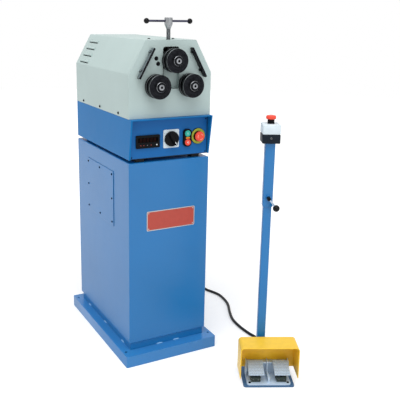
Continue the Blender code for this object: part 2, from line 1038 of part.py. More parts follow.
def display_housing():
    """Panel meter: a bezel with a sunk window, and its body behind the panel."""
    x, z = panel_place(meter_x, meter_rise)
    face = panel_front - seat_gap
    bezel = plate(
        "display_housing",
        [rounded_rectangle(meter_width, meter_height, meter_corner_radius, steps=2)],
        meter_proud,
        (x, face - meter_proud / 2, z),
        FACING_FRONT,
        machine,
        "black plastic",
    )
    body = box(
        "meter_body",
        (x - meter_body_width / 2, face - meter_proud / 2, z - meter_body_height / 2),
        (x + meter_body_width / 2, face + meter_body_depth, z + meter_body_height / 2),
        machine,
    )
    window_z = z + meter_height / 2 - meter_window_drop
    window = box(
        "meter_window",
        (x - meter_window_width / 2, face - meter_proud - overrun, window_z - meter_window_height),
        (x + meter_window_width / 2, face - meter_proud + meter_window_depth, window_z),
        machine,
    )
    cut(join(bezel, body), window)


def switch_plate():
    x, z = panel_place(switch_x, switch_rise)
    plate(
        "switch_plate",
        [
            rounded_rectangle(switch_plate_width, switch_plate_height, switch_plate_corner),
            circle(switch_shaft_radius + running_gap, steps=small_steps),
        ],
        switch_plate_thickness,
        (x, panel_front - seat_gap - switch_plate_thickness / 2, z),
        FACING_FRONT,
        machine,
        "light plastic",
    )


def switch_knob():
    """Rotary switch: a round skirt with a grip across it, on a shaft through the panel."""
    x, z = panel_place(switch_x, switch_rise)
    face = panel_front - 2 * seat_gap - switch_plate_thickness
    carrier = Carrier("switch_joint", (x, face, z), machine)
    top = knob_base_height
    profile = [
        (0, top),
        (knob_radius - knob_skirt, top),
        (knob_radius, top - knob_skirt),
        (knob_radius, 0),
        (switch_shaft_radius, 0),
        (switch_shaft_radius, -switch_shaft_length),
        (0, -switch_shaft_length),
    ]
    knob = turned("switch_knob", profile, (x, face, z), TO_FRONT, carrier, "black plastic")
    length = 2 * (knob_radius - knob_skirt)
    grip = plate(
        "knob_grip",
        [rounded_rectangle(grip_width, length, grip_edge_radius, steps=2)],
        grip_height + knob_base_height / 2,
        (x, face - knob_base_height - grip_height / 2 + knob_base_height / 4, z),
        Matrix.Rotation(math.radians(switch_rest_deg), 4, "Y") @ FACING_FRONT,
        carrier,
    )
    join(knob, grip)


def button_bezel():
    """Black frame round the start and stop buttons."""
    x, z = panel_place(bezel_x, bezel_rise)
    outlines = [rounded_rectangle(bezel_width, bezel_height, bezel_width * bezel_round_share, steps=5)]
    for side in (-1, 1):
        middle = (0, side * button_spacing / 2)
        outlines.append(circle(button_radius + running_gap, middle, steps=round_steps))
    plate(
        "button_bezel",
        outlines,
        bezel_proud,
        (x, panel_front - seat_gap - bezel_proud / 2, z),
        FACING_FRONT,
        machine,
        "black plastic",
    )


def push_button(name, side, proud, look):
    """A round cap in the bezel with a stem through the panel."""
    x, z = panel_place(bezel_x, bezel_rise + side * button_spacing / 2)
    face = panel_front - seat_gap - bezel_proud - proud
    carrier = Carrier(name + "_joint", (x, face, z), machine)
    profile = [
        (0, 0),
        (button_radius - button_edge, 0),
        (button_radius, -button_edge),
        (button_radius, -button_depth),
        (button_stem_radius, -button_depth),
        (button_stem_radius, -button_depth - button_stem_length),
        (0, -button_depth - button_stem_length),
    ]
    turned(name, profile, (x, face, z), TO_FRONT, carrier, look, steps=round_steps)


def panel_stop_collar():
    x, z = panel_place(stop_x, stop_rise)
    profile = [
        (collar_radius - collar_edge, collar_thickness),
        (collar_radius, collar_thickness - collar_edge),
        (collar_radius, 0),
        (stop_bore_radius, 0),
        (stop_bore_radius, collar_thickness),
    ]
    place = (x, panel_front - seat_gap, z)
    turned("panel_stop_collar", profile, place, TO_FRONT, machine, "yellow plastic", fine_steps)


def mushroom_stop(name, at, axis, carrier, radius, height, stand):
    """Emergency stop: a stem that pushes in, and a mushroom head that turns on it to release.

    The face that it stands on is at the height of zero; stand is the head's height above it.
    """
    stem_carrier = Carrier(name + "_push_joint", at, carrier)
    shoulder = stand - seat_gap
    stem_top = stand + mushroom_socket_depth - seat_gap
    stem = [
        (0, stem_top),
        (stop_stem_radius, stem_top),
        (stop_stem_radius, shoulder),
        (stop_skirt_radius, shoulder),
        (stop_skirt_radius, -stop_skirt_sink),
        (stop_stem_radius, -stop_skirt_sink),
        (stop_stem_radius, -stop_skirt_sink - stop_stem_length),
        (0, -stop_skirt_sink - stop_stem_length),
    ]
    turned(name + "_stem", stem, at, axis, stem_carrier, "black plastic", round_steps)
    cap_carrier = Carrier(name + "_release_joint", at, stem_carrier)
    top = stand + height
    edge = min(mushroom_edge, height / 2)
    rim = [
        (radius - edge + edge * math.sin(turn), top - edge + edge * math.cos(turn))
        for turn in (0, math.pi / 6, math.pi / 3, math.pi / 2)
    ]
    socket = stop_stem_radius + running_gap
    cap = [(0, top + mushroom_crown)]
    cap += rim
    cap += [
        (radius, stand + mushroom_neck),
        (radius - mushroom_neck, stand),
        (socket, stand),
        (socket, stand + mushroom_socket_depth),
        (0, stand + mushroom_socket_depth),
    ]
    turned(name + "_cap", cap, at, axis, cap_carrier, "red plastic")


def front_plate():
    """Thick front plate: the carriage's slot, the lower shafts' bearings and two index holes."""
    low, high = carriage_bottom - slot_below_carriage, head_top - slot_top_setback
    half = slot_width / 2
    slot = rounded(
        [(-half, low), (half, low), (half, high), (-half, high)],
        [0, 0, slot_corner_radius, slot_corner_radius],
    )
    outlines = [
        house(cabinet_width, head_top_width, head_base, head_shoulder, head_top, head_corner_radius),
        slot,
    ]
    hole = (index_hole_x, head_top - index_hole_setback)
    next_hole = (hole[0] + index_hole_pitch_x, hole[1] - index_hole_pitch_z)
    outlines += [circle(index_hole_radius, middle, small_steps) for middle in (hole, next_hole)]
    face = plate(
        "front_plate",
        outlines,
        plate_thickness,
        (0, (plate_front + plate_back) / 2, 0),
        FACING_FRONT,
        machine,
        "grey-green paint",
    )
    for side in (-1, 1):
        x = side * lower_roll_x
        boss = rod(
            "bearing_boss",
            bearing_boss_radius,
            (x, plate_back - overrun, lower_roll_z),
            (x, plate_back + bearing_boss_length, lower_roll_z),
            machine,
        )
        bore = rod(
            "bearing_bore",
            shaft_radius + running_gap,
            (x, plate_front - overrun, lower_roll_z),
            (x, plate_back + bearing_boss_length + overrun, lower_roll_z),
            machine,
        )
        face = cut(join(face, boss), bore)


def rear_frame_plate():
    """Second plate of the frame, which holds the lower shafts in front of their gears."""
    half = rear_plate_width / 2
    low = head_base + seat_gap
    high = head_top - rear_plate_top_setback
    outlines = [[(-half, low), (half, low), (half, high), (-half, high)]]
    for side in (-1, 1):
        middle = (side * lower_roll_x, lower_roll_z)
        outlines.append(circle(shaft_radius + running_gap, middle))
    plate(
        "rear_frame_plate",
        outlines,
        plate_thickness,
        (0, (rear_plate_front + rear_plate_back) / 2, 0),
        FACING_FRONT,
        machine,
        "turned steel",
    )


def head_cover():
    """Folded cover over the frame, with pressed louvres near its rear on both slopes."""
    front = plate_back + seat_gap
    depth = cabinet_back - front
    section = (cabinet_width, head_top_width, head_base, head_shoulder, head_top)
    cover = plate(
        "head_cover",
        [house(*section, head_corner_radius)],
        depth,
        (0, front + depth / 2, 0),
        FACING_FRONT,
        machine,
        "grey-green paint",
    )
    inner_radius = head_corner_radius - head_sheet
    room = plate(
        "head_room",
        [house(*section, inner_radius, head_sheet)],
        depth,
        (0, front + depth / 2 - head_sheet, 0),
        FACING_FRONT,
        machine,
    )
    floor = box(
        "head_floor",
        (-half_width + head_sheet, front - overrun, head_base - overrun),
        (half_width - head_sheet, cabinet_back - head_sheet, head_base + overrun),
        machine,
    )
    screw_hole = rod(
        "cover_screw_hole",
        screw_radius + screw_hole_margin,
        (0, screw_y, head_top - head_sheet - overrun),
        (0, screw_y, head_top + overrun),
        machine,
    )
    lips = []
    slots = []
    top_edge = Vector((head_top_width / 2, head_top))
    low_edge = Vector((half_width, head_shoulder))
    slope = math.atan2(low_edge.x - top_edge.x, top_edge.y - low_edge.y)
    louvre_y = cabinet_back - louvre_rear_setback - louvre_length
    for side in (-1, 1):
        for share in louvre_row_shares:
            x, z = top_edge.lerp(low_edge, share)
            x *= side
            start = (x, louvre_y, z)
            end = (x, louvre_y + louvre_length, z)
            lips.append(rod("louvre_lip", louvre_lip_radius, start, end, machine, steps=6))
            slot = box(
                "louvre_slot",
                (-louvre_lip_radius - overrun, overrun, -louvre_slot / 2),
                (louvre_lip_radius + overrun, louvre_length - overrun, louvre_slot / 2),
                machine,
            )
            drop = louvre_lip_radius * math.cos(slope)
            inward = louvre_lip_radius * math.sin(slope)
            slot.matrix_local = (
                Matrix.Translation((x + side * inward, louvre_y, z - drop))
                @ Matrix.Rotation(side * -slope, 4, "Y")
                @ Matrix.Translation((0, louvre_length / 2, 0))
            )
            slots.append(slot)
    cut(join(cut(cover, room, floor), *lips), screw_hole, *slots)


def roll(name, x, z, carrier):
    """Grooved roll: two flanges with the groove for the angle's leg, and a stepped boss."""
    core = roll_radius - groove_depth
    groove_top = roll_width - front_flange
    groove_bottom = groove_top - groove_width
    face = roll_width + roll_boss_height
    bore = shaft_radius + seat_gap
    bore_top = roll_width - shaft_web + seat_gap
    profile = [
        (roll_boss_radius - roll_chamfer, face),
        (roll_boss_radius, face - roll_chamfer),
        (roll_boss_radius, roll_width),
        (roll_radius - roll_chamfer, roll_width),
        (roll_radius, roll_width - roll_chamfer),
        (roll_radius, groove_top),
        (core, groove_top),
        (core, groove_bottom),
        (roll_radius, groove_bottom),
        (roll_radius, roll_chamfer),
        (roll_radius - roll_chamfer, 0),
        (bore, 0),
        (bore, bore_top),
        (bolt_radius + seat_gap, bore_top),
        (bolt_radius + seat_gap, face - roll_recess_depth),
        (roll_recess_radius, face - roll_recess_depth),
        (roll_recess_radius, face),
    ]
    turned(name, profile, (x, roll_back, z), TO_FRONT, carrier, "black steel", fine_steps)


def shaft(name, x, z, carrier, seat, length):
    """Shaft through a roll, with a shoulder behind the roll, a socket screw and a retaining ring.

    Heights are measured forward from the roll's rear face. The shoulder ends short of the seat,
    the face behind it, and the ring follows at the given length.
    """
    shoulder_back = roll_back - seat + running_gap
    end = roll_width - shaft_web
    head = roll_width + roll_boss_height - roll_recess_depth + seat_gap
    top = head + bolt_head_height
    profile = [
        (0, top),
        (bolt_head_radius - bolt_chamfer, top),
        (bolt_head_radius, top - bolt_chamfer),
        (bolt_head_radius, head),
        (bolt_radius, head),
        (bolt_radius, end),
        (shaft_radius, end),
        (shaft_radius, -seat_gap),
        (shaft_shoulder_radius, -seat_gap),
        (shaft_shoulder_radius, shoulder_back),
        (shaft_radius, shoulder_back),
        (shaft_radius, -length),
        (retainer_radius, -length),
        (retainer_radius, -length - retainer_length),
        (0, -length - retainer_length),
    ]
    made = turned(name, profile, (x, roll_back, z), TO_FRONT, carrier, "turned steel")
    socket = rod(
        name + "_socket",
        socket_radius,
        (x, roll_back - top + socket_depth, z),
        (x, roll_back - top - overrun, z),
        carrier,
        steps=6,
    )
    cut(made, socket)


def lower_rolls():
    """Two driven rolls, each on a shaft through both plates with a gear at its end."""
    reach = math.atan2(lower_roll_z - pinion_z, lower_roll_x)
    for side, side_name in ((-1, "left"), (1, "right")):
        x = side * lower_roll_x
        carrier = Carrier(f"lower_{side_name}_roll_joint", (x, roll_back, lower_roll_z), machine)
        gear_back = gear_front + gear_width
        length = gear_back + seat_gap - roll_back
        roll(f"lower_{side_name}_roll", x, lower_roll_z, carrier)
        shaft(f"lower_{side_name}_shaft", x, lower_roll_z, carrier, plate_front, length)
        direction = reach if side > 0 else math.pi - reach
        pinion_share = (direction - math.pi / 2) * pinion_teeth / math.tau % 1
        phase = direction + math.pi - (1 / 2 - pinion_share) * math.tau / gear_teeth
        plate(
            f"lower_{side_name}_gear",
            [gear_outline(gear_teeth, phase), circle(shaft_radius + seat_gap)],
            gear_width,
            (x, gear_front + gear_width / 2, lower_roll_z),
            FACING_FRONT,
            carrier,
            "turned steel",
        )


def drive_pinion():
    """Pinion between the two gears, on the gearmotor's output shaft."""
    carrier = Carrier("drive_pinion_joint", (0, pinion_front, pinion_z), machine)
    teeth = plate(
        "drive_pinion",
        [gear_outline(pinion_teeth, math.pi / 2)],
        pinion_width,
        (0, pinion_front + pinion_width / 2, pinion_z),
        FACING_FRONT,
        carrier,
        "turned steel",
    )
    stub = rod(
        "pinion_shaft",
        pinion_shaft_radius,
        (0, pinion_front + pinion_width / 2, pinion_z),
        (0, gearbox_front + gearbox_bore_depth - seat_gap, pinion_z),
        carrier,
    )
    join(teeth, stub)


def gearmotor():
    """Foot-mounted gearbox with its flanged motor and terminal box."""
    half = gearbox_width / 2
    foot = gearbox_foot_width / 2
    low = head_base + seat_gap
    corners = [
        (-foot, low),
        (foot, low),
        (foot, low + gearbox_foot_height),
        (half, low + gearbox_foot_height),
        (half, low + gearbox_rise),
        (-half, low + gearbox_rise),
        (-half, low + gearbox_foot_height),
        (-foot, low + gearbox_foot_height),
    ]
    round_top = gearbox_corner_radius
    gearbox = plate(
        "gearmotor",
        [rounded(corners, [0, 0, 0, 0, round_top, round_top, 0, 0])],
        gearbox_depth,
        (0, (gearbox_front + gearbox_back) / 2, 0),
        FACING_FRONT,
        machine,
        "motor grey",
    )
    body_end = motor_flange_length + motor_length
    cover_end = body_end + fan_cover_length
    profile = [
        (0, cover_end),
        (fan_cover_radius - fan_cover_edge, cover_end),
        (fan_cover_radius, cover_end - fan_cover_edge),
        (fan_cover_radius, body_end),
        (motor_radius, body_end),
        (motor_radius, motor_flange_length),
        (motor_flange_radius, motor_flange_length),
        (motor_flange_radius, -overrun),
        (0, -overrun),
    ]
    motor = turned("motor", profile, (0, gearbox_back, pinion_z), TO_BACK, machine)
    top = pinion_z + motor_radius
    middle_y = gearbox_back + motor_flange_length + motor_length / 2
    terminals = box(
        "terminal_box",
        (-terminal_box_width / 2, middle_y - terminal_box_depth / 2, top - motor_sink),
        (terminal_box_width / 2, middle_y + terminal_box_depth / 2, top + terminal_box_height),
        machine,
    )
    bore = rod(
        "gearbox_bore",
        pinion_shaft_radius + running_gap,
        (0, gearbox_front - overrun, pinion_z),
        (0, gearbox_front + gearbox_bore_depth, pinion_z),
        machine,
    )
    cut(join(gearbox, motor, terminals), bore)


def guide_rails():
    """Grooved rails behind the plate, between which the carriage slides."""
    low = lower_roll_z + bearing_boss_radius + rail_boss_clearance
    high = nut_bottom - rail_nut_clearance
    for side, side_name in ((-1, "left"), (1, "right")):
        inner = carriage_half + running_gap
        groove = inner + tongue_reach
        outer = inner + rail_thickness
        front, back = plate_back + seat_gap, carriage_back
        tongue = carriage_front + tongue_setback
        section = [
            (inner, front),
            (outer, front),
            (outer, back),
            (inner, back),
            (inner, tongue + tongue_depth + running_gap),
            (groove, tongue + tongue_depth + running_gap),
            (groove, tongue - running_gap),
            (inner, tongue - running_gap),
        ]
        plate(
            f"guide_rail_{side_name}",
            [[(side * x, y) for x, y in section]],
            high - low,
            (0, 0, (low + high) / 2),
            FACING_UP,
            machine,
            "turned steel",
        )


def carriage():
    """Carriage of the top roll, its shield and its shaft, on the lift joint."""
    lift = Carrier("carriage_joint", (0, screw_y, top_roll_z), machine)
    half = carriage_half
    block = box(
        "carriage_block",
        (-half, carriage_front, carriage_bottom),
        (half, carriage_back, carriage_top),
        lift,
        "black steel",
    )
    block = ease(block, carriage_chamfer)
    tongue = carriage_front + tongue_setback
    reach = half + tongue_reach - running_gap
    tongues = box(
        "carriage_tongues",
        (-reach, tongue, carriage_bottom + tongue_end_setback),
        (reach, tongue + tongue_depth, carriage_top - tongue_end_setback),
        lift,
    )
    shaft_bore = rod(
        "carriage_shaft_bore",
        shaft_radius + running_gap,
        (0, carriage_front - overrun, top_roll_z),
        (0, carriage_back + overrun, top_roll_z),
        lift,
    )
    screw_seat = rod(
        "carriage_screw_seat",
        screw_radius + running_gap,
        (0, screw_y, carriage_top - screw_seat_depth),
        (0, screw_y, carriage_top + overrun),
        lift,
    )
    cut(join(block, tongues), shaft_bore, screw_seat)
    shield_front = plate_back + seat_gap
    shield = box(
        "slot_shield",
        (-half, shield_front, carriage_bottom - shield_length),
        (half, shield_front + shield_sheet, carriage_bottom - seat_gap),
        lift,
        "grey-green paint",
    )
    tab = box(
        "shield_tab",
        (-half, shield_front, carriage_bottom - seat_gap - shield_sheet),
        (half, carriage_back, carriage_bottom - seat_gap),
        lift,
    )
    join(shield, tab)
    spin = Carrier("top_roll_joint", (0, roll_back, top_roll_z), lift)
    length = carriage_back + running_gap - roll_back
    roll("top_roll", 0, top_roll_z, spin)
    shaft("top_shaft", 0, top_roll_z, spin, carriage_front, length)
    lead_screw(lift)


def screw_nut_block():
    """Nut block under the cover's top, fixed to the plate."""
    front = plate_back + seat_gap
    block = box(
        "screw_nut_block",
        (-nut_width / 2, front, nut_bottom),
        (nut_width / 2, front + nut_depth, nut_top),
        machine,
        "turned steel",
    )
    bore = rod(
        "nut_bore",
        screw_radius + running_gap,
        (0, screw_y, nut_bottom - overrun),
        (0, screw_y, nut_top + overrun),
        machine,
    )
    cut(block, bore)


def lead_screw(lift):
    """Screw with its cross-drilled head, and the T-bar with a ball at each end."""
    carrier = Carrier("screw_joint", (0, screw_y, carriage_top), lift)
    hub_bottom = head_top + hub_rise
    hub_top = hub_bottom + hub_height
    bottom = carriage_top - screw_seat_depth + seat_gap
    collar = carriage_top + seat_gap
    profile = [
        (0, hub_top),
        (hub_radius - hub_chamfer, hub_top),
        (hub_radius, hub_top - hub_chamfer),
        (hub_radius, hub_bottom),
        (screw_radius, hub_bottom - hub_taper),
        (screw_radius, collar + thrust_collar_height),
        (thrust_collar_radius, collar + thrust_collar_height),
        (thrust_collar_radius, collar),
        (screw_radius, collar),
        (screw_radius, bottom),
        (0, bottom),
    ]
    screw = turned("lead_screw", profile, (0, screw_y, 0), UP, carrier, "bright steel")
    bar_z = (hub_bottom + hub_top) / 2
    cross_hole = rod(
        "cross_hole",
        handle_bar_radius + seat_gap,
        (-hub_radius - overrun, screw_y, bar_z),
        (hub_radius + overrun, screw_y, bar_z),
        carrier,
        steps=small_steps,
    )
    cut(screw, cross_hole)
    bar_half = handle_span / 2 - handle_ball_radius + ball_bore_depth - seat_gap
    rod(
        "handle_bar",
        handle_bar_radius,
        (-bar_half, screw_y, bar_z),
        (bar_half, screw_y, bar_z),
        carrier,
        "bright steel",
        steps=small_steps,
    )
    for side, side_name in ((-1, "left"), (1, "right")):
        middle = side * handle_span / 2
        mouth = middle - side * handle_ball_radius
        knob = ball(
            f"{side_name}_knob", handle_ball_radius, (middle, screw_y, bar_z), carrier, "black plastic"
        )
        bore = rod(
            f"{side_name}_knob_bore",
            handle_bar_radius + seat_gap,
            (mouth - side * overrun, screw_y, bar_z),
            (mouth + side * ball_bore_depth, screw_y, bar_z),
            carrier,
            steps=small_steps,
        )
        cut(knob, bore)


def guide_bars():
    """Flat bars on edge, each on two posts, along the head's sloping edges."""
    top = Vector((guide_bar_top_x, 0, head_top - guide_bar_top_setback))
    foot = Vector((guide_bar_foot_x, 0, head_shoulder - guide_bar_foot_setback))
    length = (foot - top).length
    lean = math.atan2(foot.x - top.x, top.z - foot.z)
    bar_back = plate_front - guide_bar_stand_off
    for side, side_name in ((-1, "left"), (1, "right")):
        middle = (top + foot) / 2
        outline = rounded_rectangle(guide_bar_thickness, length, guide_bar_edge_radius, steps=1)
        bar = plate(
            f"{side_name}_guide_bar",
            [outline],
            guide_bar_depth,
            (side * middle.x, bar_back - guide_bar_depth / 2, middle.z),
            Matrix.Rotation(-side * lean, 4, "Y") @ FACING_FRONT,
            machine,
            "black steel",
        )
        posts = []
        for share in guide_post_shares:
            spot = top.lerp(foot, share)
            posts.append(
                rod(
                    "guide_post",
                    guide_post_radius,
                    (side * spot.x, plate_front - seat_gap, spot.z),
                    (side * spot.x, bar_back - guide_bar_depth / 2, spot.z),
                    machine,
                    steps=small_steps,
                )
            )
        join(bar, *posts)


def cable_gland(name, at, axis, bored):
    """Screwed cable gland: flange, nut and tapered nose, bored where it holds no cable."""
    bore = cable_radius + running_gap
    body_top = gland_flange + gland_body
    top = gland_length
    outside = [
        (bore + gland_lip, top),
        (gland_radius, body_top),
        (gland_radius, gland_flange),
        (gland_flange_radius, gland_flange),
        (gland_flange_radius, 0),
    ]
    if bored:
        profile = [*outside, (bore, 0), (bore, top)]
    else:
        profile = [(0, top), *outside, (0, 0)]
    turned(name, profile, at, axis, machine, "black plastic", small_steps)


def smooth_route(route, spacing):
    """Points at even steps along a smooth curve through the route, whose end stretches stay straight."""
    fine = []
    for a, b, c, d in zip(route, route[1:], route[2:], route[3:]):
        for n in range(route_samples):
            t = n / route_samples
            linear = (c - a) * t
            square = (2 * a - 5 * b + 4 * c - d) * t**2
            cube = (3 * b - a - 3 * c + d) * t**3
            fine.append(b + (linear + square + cube) / 2)
    fine.append(route[-2])
    steps = [(q - p).length for p, q in zip(fine, fine[1:])]
    count = round(sum(steps) / spacing)
    points = [route[0], fine[0]]
    walked = 0.0
    for step, place in zip(steps, fine[1:-1]):
        walked += step
        if walked >= sum(steps) * (len(points) - 1) / count:
            points.append(place)
    points += [fine[-1], route[-1]]
    return points, sum((q - p).length for p, q in zip(points, points[1:]))


def coil_points():
    """Two layers of loops: in along the floor, up in the half turn where it reverses, and out."""
    turns = coil_turns_per_layer
    count = round(2 * turns * coil_points_per_turn)
    points = []
    for n in range(count + 1):
        turn = 2 * turns * n / count
        to_reverse = turn - turns
        radius = coil_outer_radius - coil_pitch * (turns - abs(to_reverse))
        climb = min(1.0, max(0.0, to_reverse * 2 + 1 / 2))
        rise = coil_layer_rise * climb**2 * (3 - 2 * climb)
        angle = math.pi / 2 - math.tau * turn
        points.append(
            Vector(
                (
                    coil_middle_x + radius * math.cos(angle),
                    coil_middle_y + radius * math.sin(angle),
                    cable_level + rise,
                )
            )
        )
    lead_in = Vector((-cable_diameter, 0, 0))
    final = math.pi / 2 - math.tau * 2 * turns
    way_out = Vector((math.sin(final), -math.cos(final), 0)) * cable_diameter
    return [points[0] + lead_in, *points, points[-1] + way_out], way_out.normalized()


def least_gap(points):
    """The least distance between a tube's surface and a part of it further along."""
    apart = coil_points_per_turn // 2
    least = min(
        (p - q).length for n, p in enumerate(points) for q in points[n + apart :]
    )
    return least - cable_diameter


def foot_cable():
    """Cable from the cabinet's gland to the coil beside it, and on to the pedals' gland."""
    coil, way_out = coil_points()
    tube("foot_cable_coil", coil, cable_radius, machine, "cable jacket", 1)
    print(f"foot cable: least gap of the coil to itself {least_gap(coil) * 1000:.2f} mm")
    gland_mouth = Vector((half_width + seat_gap + gland_length + seat_gap, foot_gland_y, gland_height))
    coil_start = coil[0] - Vector((seat_gap, 0, 0))
    lead = [
        gland_mouth,
        gland_mouth + TO_RIGHT * cable_diameter,
        *(Vector(place) for place in lead_route),
        coil_start - TO_RIGHT * cable_diameter,
        coil_start,
    ]
    place = Matrix.Translation((station_x, station_y, 0)) @ Matrix.Rotation(station_turn, 4, "Z")
    pedal_mouth = pedal_base_back + pedal_gland_length + seat_gap
    far_end = place @ Vector((pedal_gland_x, pedal_mouth, pedal_gland_z))
    far_out = place.to_3x3() @ TO_BACK
    coil_end = coil[-1] + way_out * seat_gap
    run = [
        coil_end,
        coil_end + way_out * cable_diameter,
        *(Vector(place) for place in floor_route),
        far_end + far_out * cable_diameter,
        far_end,
    ]
    total = sum((q - p).length for p, q in zip(coil, coil[1:]))
    for name, route in (("foot_cable_lead", lead), ("foot_cable_run", run)):
        points, length = smooth_route(route, cable_diameter * cable_step_share)
        tube(name, points, cable_radius, machine, "cable jacket", 2)
        total += length
    print(f"foot cable: length {total:.3f} m")


def station_plate():
    outline = rounded_rectangle(
        station_plate_width, station_plate_depth, station_plate_corner, (0, station_plate_depth / 2)
    )
    plate(
        "station_plate",
        [outline],
        station_plate_thickness,
        (0, 0, station_plate_thickness / 2),
        FACING_UP,
        station,
        "blue paint",
    )


def pedal_base():
    """Cast base of the foot switch: flange, centre rib, switch blocks, rear wall and pin ears."""
    floor = station_plate_thickness + seat_gap
    flange_top = floor + pedal_base_flange
    half = pedal_base_width / 2
    depth = pedal_base_back - pedal_base_front
    middle_y = (pedal_base_back + pedal_base_front) / 2
    outlines = [rounded_rectangle(pedal_base_width, depth, pedal_base_corner)]
    for side in (-1, 1):
        middle = (side * (half - pedal_base_hole_inset), -depth / 2 + pedal_base_hole_inset)
        outlines.append(circle(pedal_base_hole_radius, middle, steps=8))
    base = plate(
        "pedal_base",
        outlines,
        pedal_base_flange,
        (0, middle_y, floor + pedal_base_flange / 2),
        FACING_UP,
        station,
        "cast grey",
    )
    sunk = flange_top - pedal_base_flange / 2
    wall = box(
        "base_rear_wall",
        (-half + pedal_base_corner, pedal_base_back - back_wall_depth, sunk),
        (half - pedal_base_corner, pedal_base_back, flange_top + back_wall_height),
        station,
    )
    added = [wall]
    rib = box(
        "centre_rib",
        (-centre_rib_width / 2, pedal_base_front + pedal_base_corner, sunk),
        (
            centre_rib_width / 2,
            pedal_base_back - back_wall_depth / 2,
            flange_top + centre_rib_height,
        ),
        station,
    )
    added.append(rib)
    pedal_middle = (pedal_inner_x + pedal_outer_x) / 2
    for side in (-1, 1):
        x = side * pedal_middle
        added.append(
            box(
                "switch_block",
                (x - switch_block_width / 2, switch_block_front, sunk),
                (
                    x + switch_block_width / 2,
                    switch_block_front + switch_block_depth,
                    flange_top + switch_block_height,
                ),
                station,
            )
        )
    ear_places = [0, pedal_outer_x + ear_clearance + ear_width / 2]
    ear_places.append(-ear_places[1])
    for x in ear_places:
        top = [
            (pedal_base_back - back_wall_depth / 2, sunk),
            (pedal_base_back - back_wall_depth / 2, pedal_pin_z + ear_radius),
        ]
        nose = arc((pedal_pin_y, pedal_pin_z), ear_radius, math.pi / 2, math.pi, 4)
        nose.append((pedal_pin_y - ear_radius, sunk))
        added.append(plate("pin_ear", [top + nose], ear_width, (x, 0, 0), FACING_RIGHT, station))
    reach = pedal_outer_x + ear_clearance + ear_width / 2
    pin_start = (-reach, pedal_pin_y, pedal_pin_z)
    pin_end = (reach, pedal_pin_y, pedal_pin_z)
    pin = rod("pedal_pin", pedal_pin_radius, pin_start, pin_end, station, steps=12)
    gland = rod(
        "pedal_gland",
        pedal_gland_radius,
        (pedal_gland_x, pedal_base_back - back_wall_depth / 2, pedal_gland_z),
        (pedal_gland_x, pedal_base_back + pedal_gland_length, pedal_gland_z),
        station,
        steps=small_steps,
    )
    join(base, *added, pin, gland)


def pedal(side, side_name):
    """Ribbed tread that slopes up to a barrel on the hinge pin, with a skirt along each side."""
    at = (0, pedal_pin_y, pedal_pin_z)
    carrier = Carrier(f"{side_name}_pedal_joint", at, station)
    front = Vector((pedal_front_y, pedal_front_z))
    back = Vector((pedal_back_y, pedal_back_z))
    knuckle = Vector((pedal_pin_y, pedal_pin_z))
    run = (back - front).normalized()
    down = Vector((run.y, -run.x))
    width = pedal_outer_x - pedal_inner_x
    middle = side * (pedal_outer_x + pedal_inner_x) / 2

    def section(name, corners, thickness, x, look=None):
        outline = [tuple(corner) for corner in corners]
        return plate(name, [outline], thickness, (x, 0, 0), FACING_RIGHT, carrier, look)

    tread = [front, back, back + down * pedal_thickness, front + down * pedal_thickness]
    made = section(f"{side_name}_pedal", tread, width, middle, "cast grey")
    core = down * pedal_thickness / 2
    to_back = Vector((pedal_barrel_radius / 2, 0))
    web = [back - run * pedal_web + core, back + core, knuckle + to_back, knuckle - to_back]
    inset = width - 2 * seat_gap
    extras = [section("pedal_web", web, inset, middle)]
    ends = [Vector((middle + edge * width / 2, *knuckle)) for edge in (-1, 1)]
    extras.append(rod("pedal_barrel", pedal_barrel_radius, *ends, carrier, steps=small_steps))
    pitch = width / pedal_rib_count
    rib = [
        front + run * pedal_rib_height + core,
        back - run * pedal_rib_height + core,
        back - run * 2 * pedal_rib_height - down * pedal_rib_height,
        front + run * 2 * pedal_rib_height - down * pedal_rib_height,
    ]
    for n in range(pedal_rib_count):
        x = middle - width / 2 + pitch * (n + 1 / 2)
        extras.append(section("tread_rib", rib, pedal_rib_width, x))
    skirt = [
        front + run * seat_gap + core,
        back - run * seat_gap + core,
        back + down * pedal_skirt,
        front + down * pedal_skirt + run * pedal_skirt / 2,
    ]
    for edge in (-1, 1):
        x = middle + edge * (width - pedal_skirt_thickness - 2 * seat_gap) / 2
        extras.append(section("tread_skirt", skirt, pedal_skirt_thickness, x))
    bore_ends = [Vector((middle + edge * (width / 2 + overrun), *knuckle)) for edge in (-1, 1)]
    bore_radius = pedal_pin_radius + running_gap
    bore = rod("pedal_bore", bore_radius, *bore_ends, carrier, steps=small_steps)
    cut(join(made, *extras), bore)


def hood():
    """Guard over the pedals: rounded top, two sides and a back, open in front and below."""
    low, high = hood_bottom, hood_top
    depth = hood_back - hood_front
    half = hood_width / 2
    corners = [(-half, low), (half, low), (half, high), (-half, high)]
    radius = hood_corner_radius
    guard = plate(
        "hood",
        [rounded(corners, [0, 0, radius, radius], 4)],
        depth,
        (0, (hood_front + hood_back) / 2, 0),
        FACING_FRONT,
        station,
        "yellow plastic",
    )
    inner = half - hood_wall
    inside = [(-inner, low - overrun), (inner, low - overrun), (inner, high - hood_wall)]
    inside.append((-inner, high - hood_wall))
    radius = hood_corner_radius - hood_wall
    room = plate(
        "hood_room",
        [rounded(inside, [0, 0, radius, radius], 4)],
        depth,
        (0, (hood_front + hood_back) / 2 - hood_wall, 0),
        FACING_FRONT,
        station,
    )
    cut(guard, room)


def station_post():
    """Square tube that stands on the plate."""
    outlines = [
        rounded_rectangle(post_width, post_width, post_corner_radius, steps=2),
        rounded_rectangle(post_width - 2 * post_wall, post_width - 2 * post_wall, 0),
    ]
    low = station_plate_thickness + seat_gap
    plate(
        "station_post",
        outlines,
        post_height,
        (post_x, post_y, low + post_height / 2),
        FACING_UP,
        station,
        "blue paint",
    )


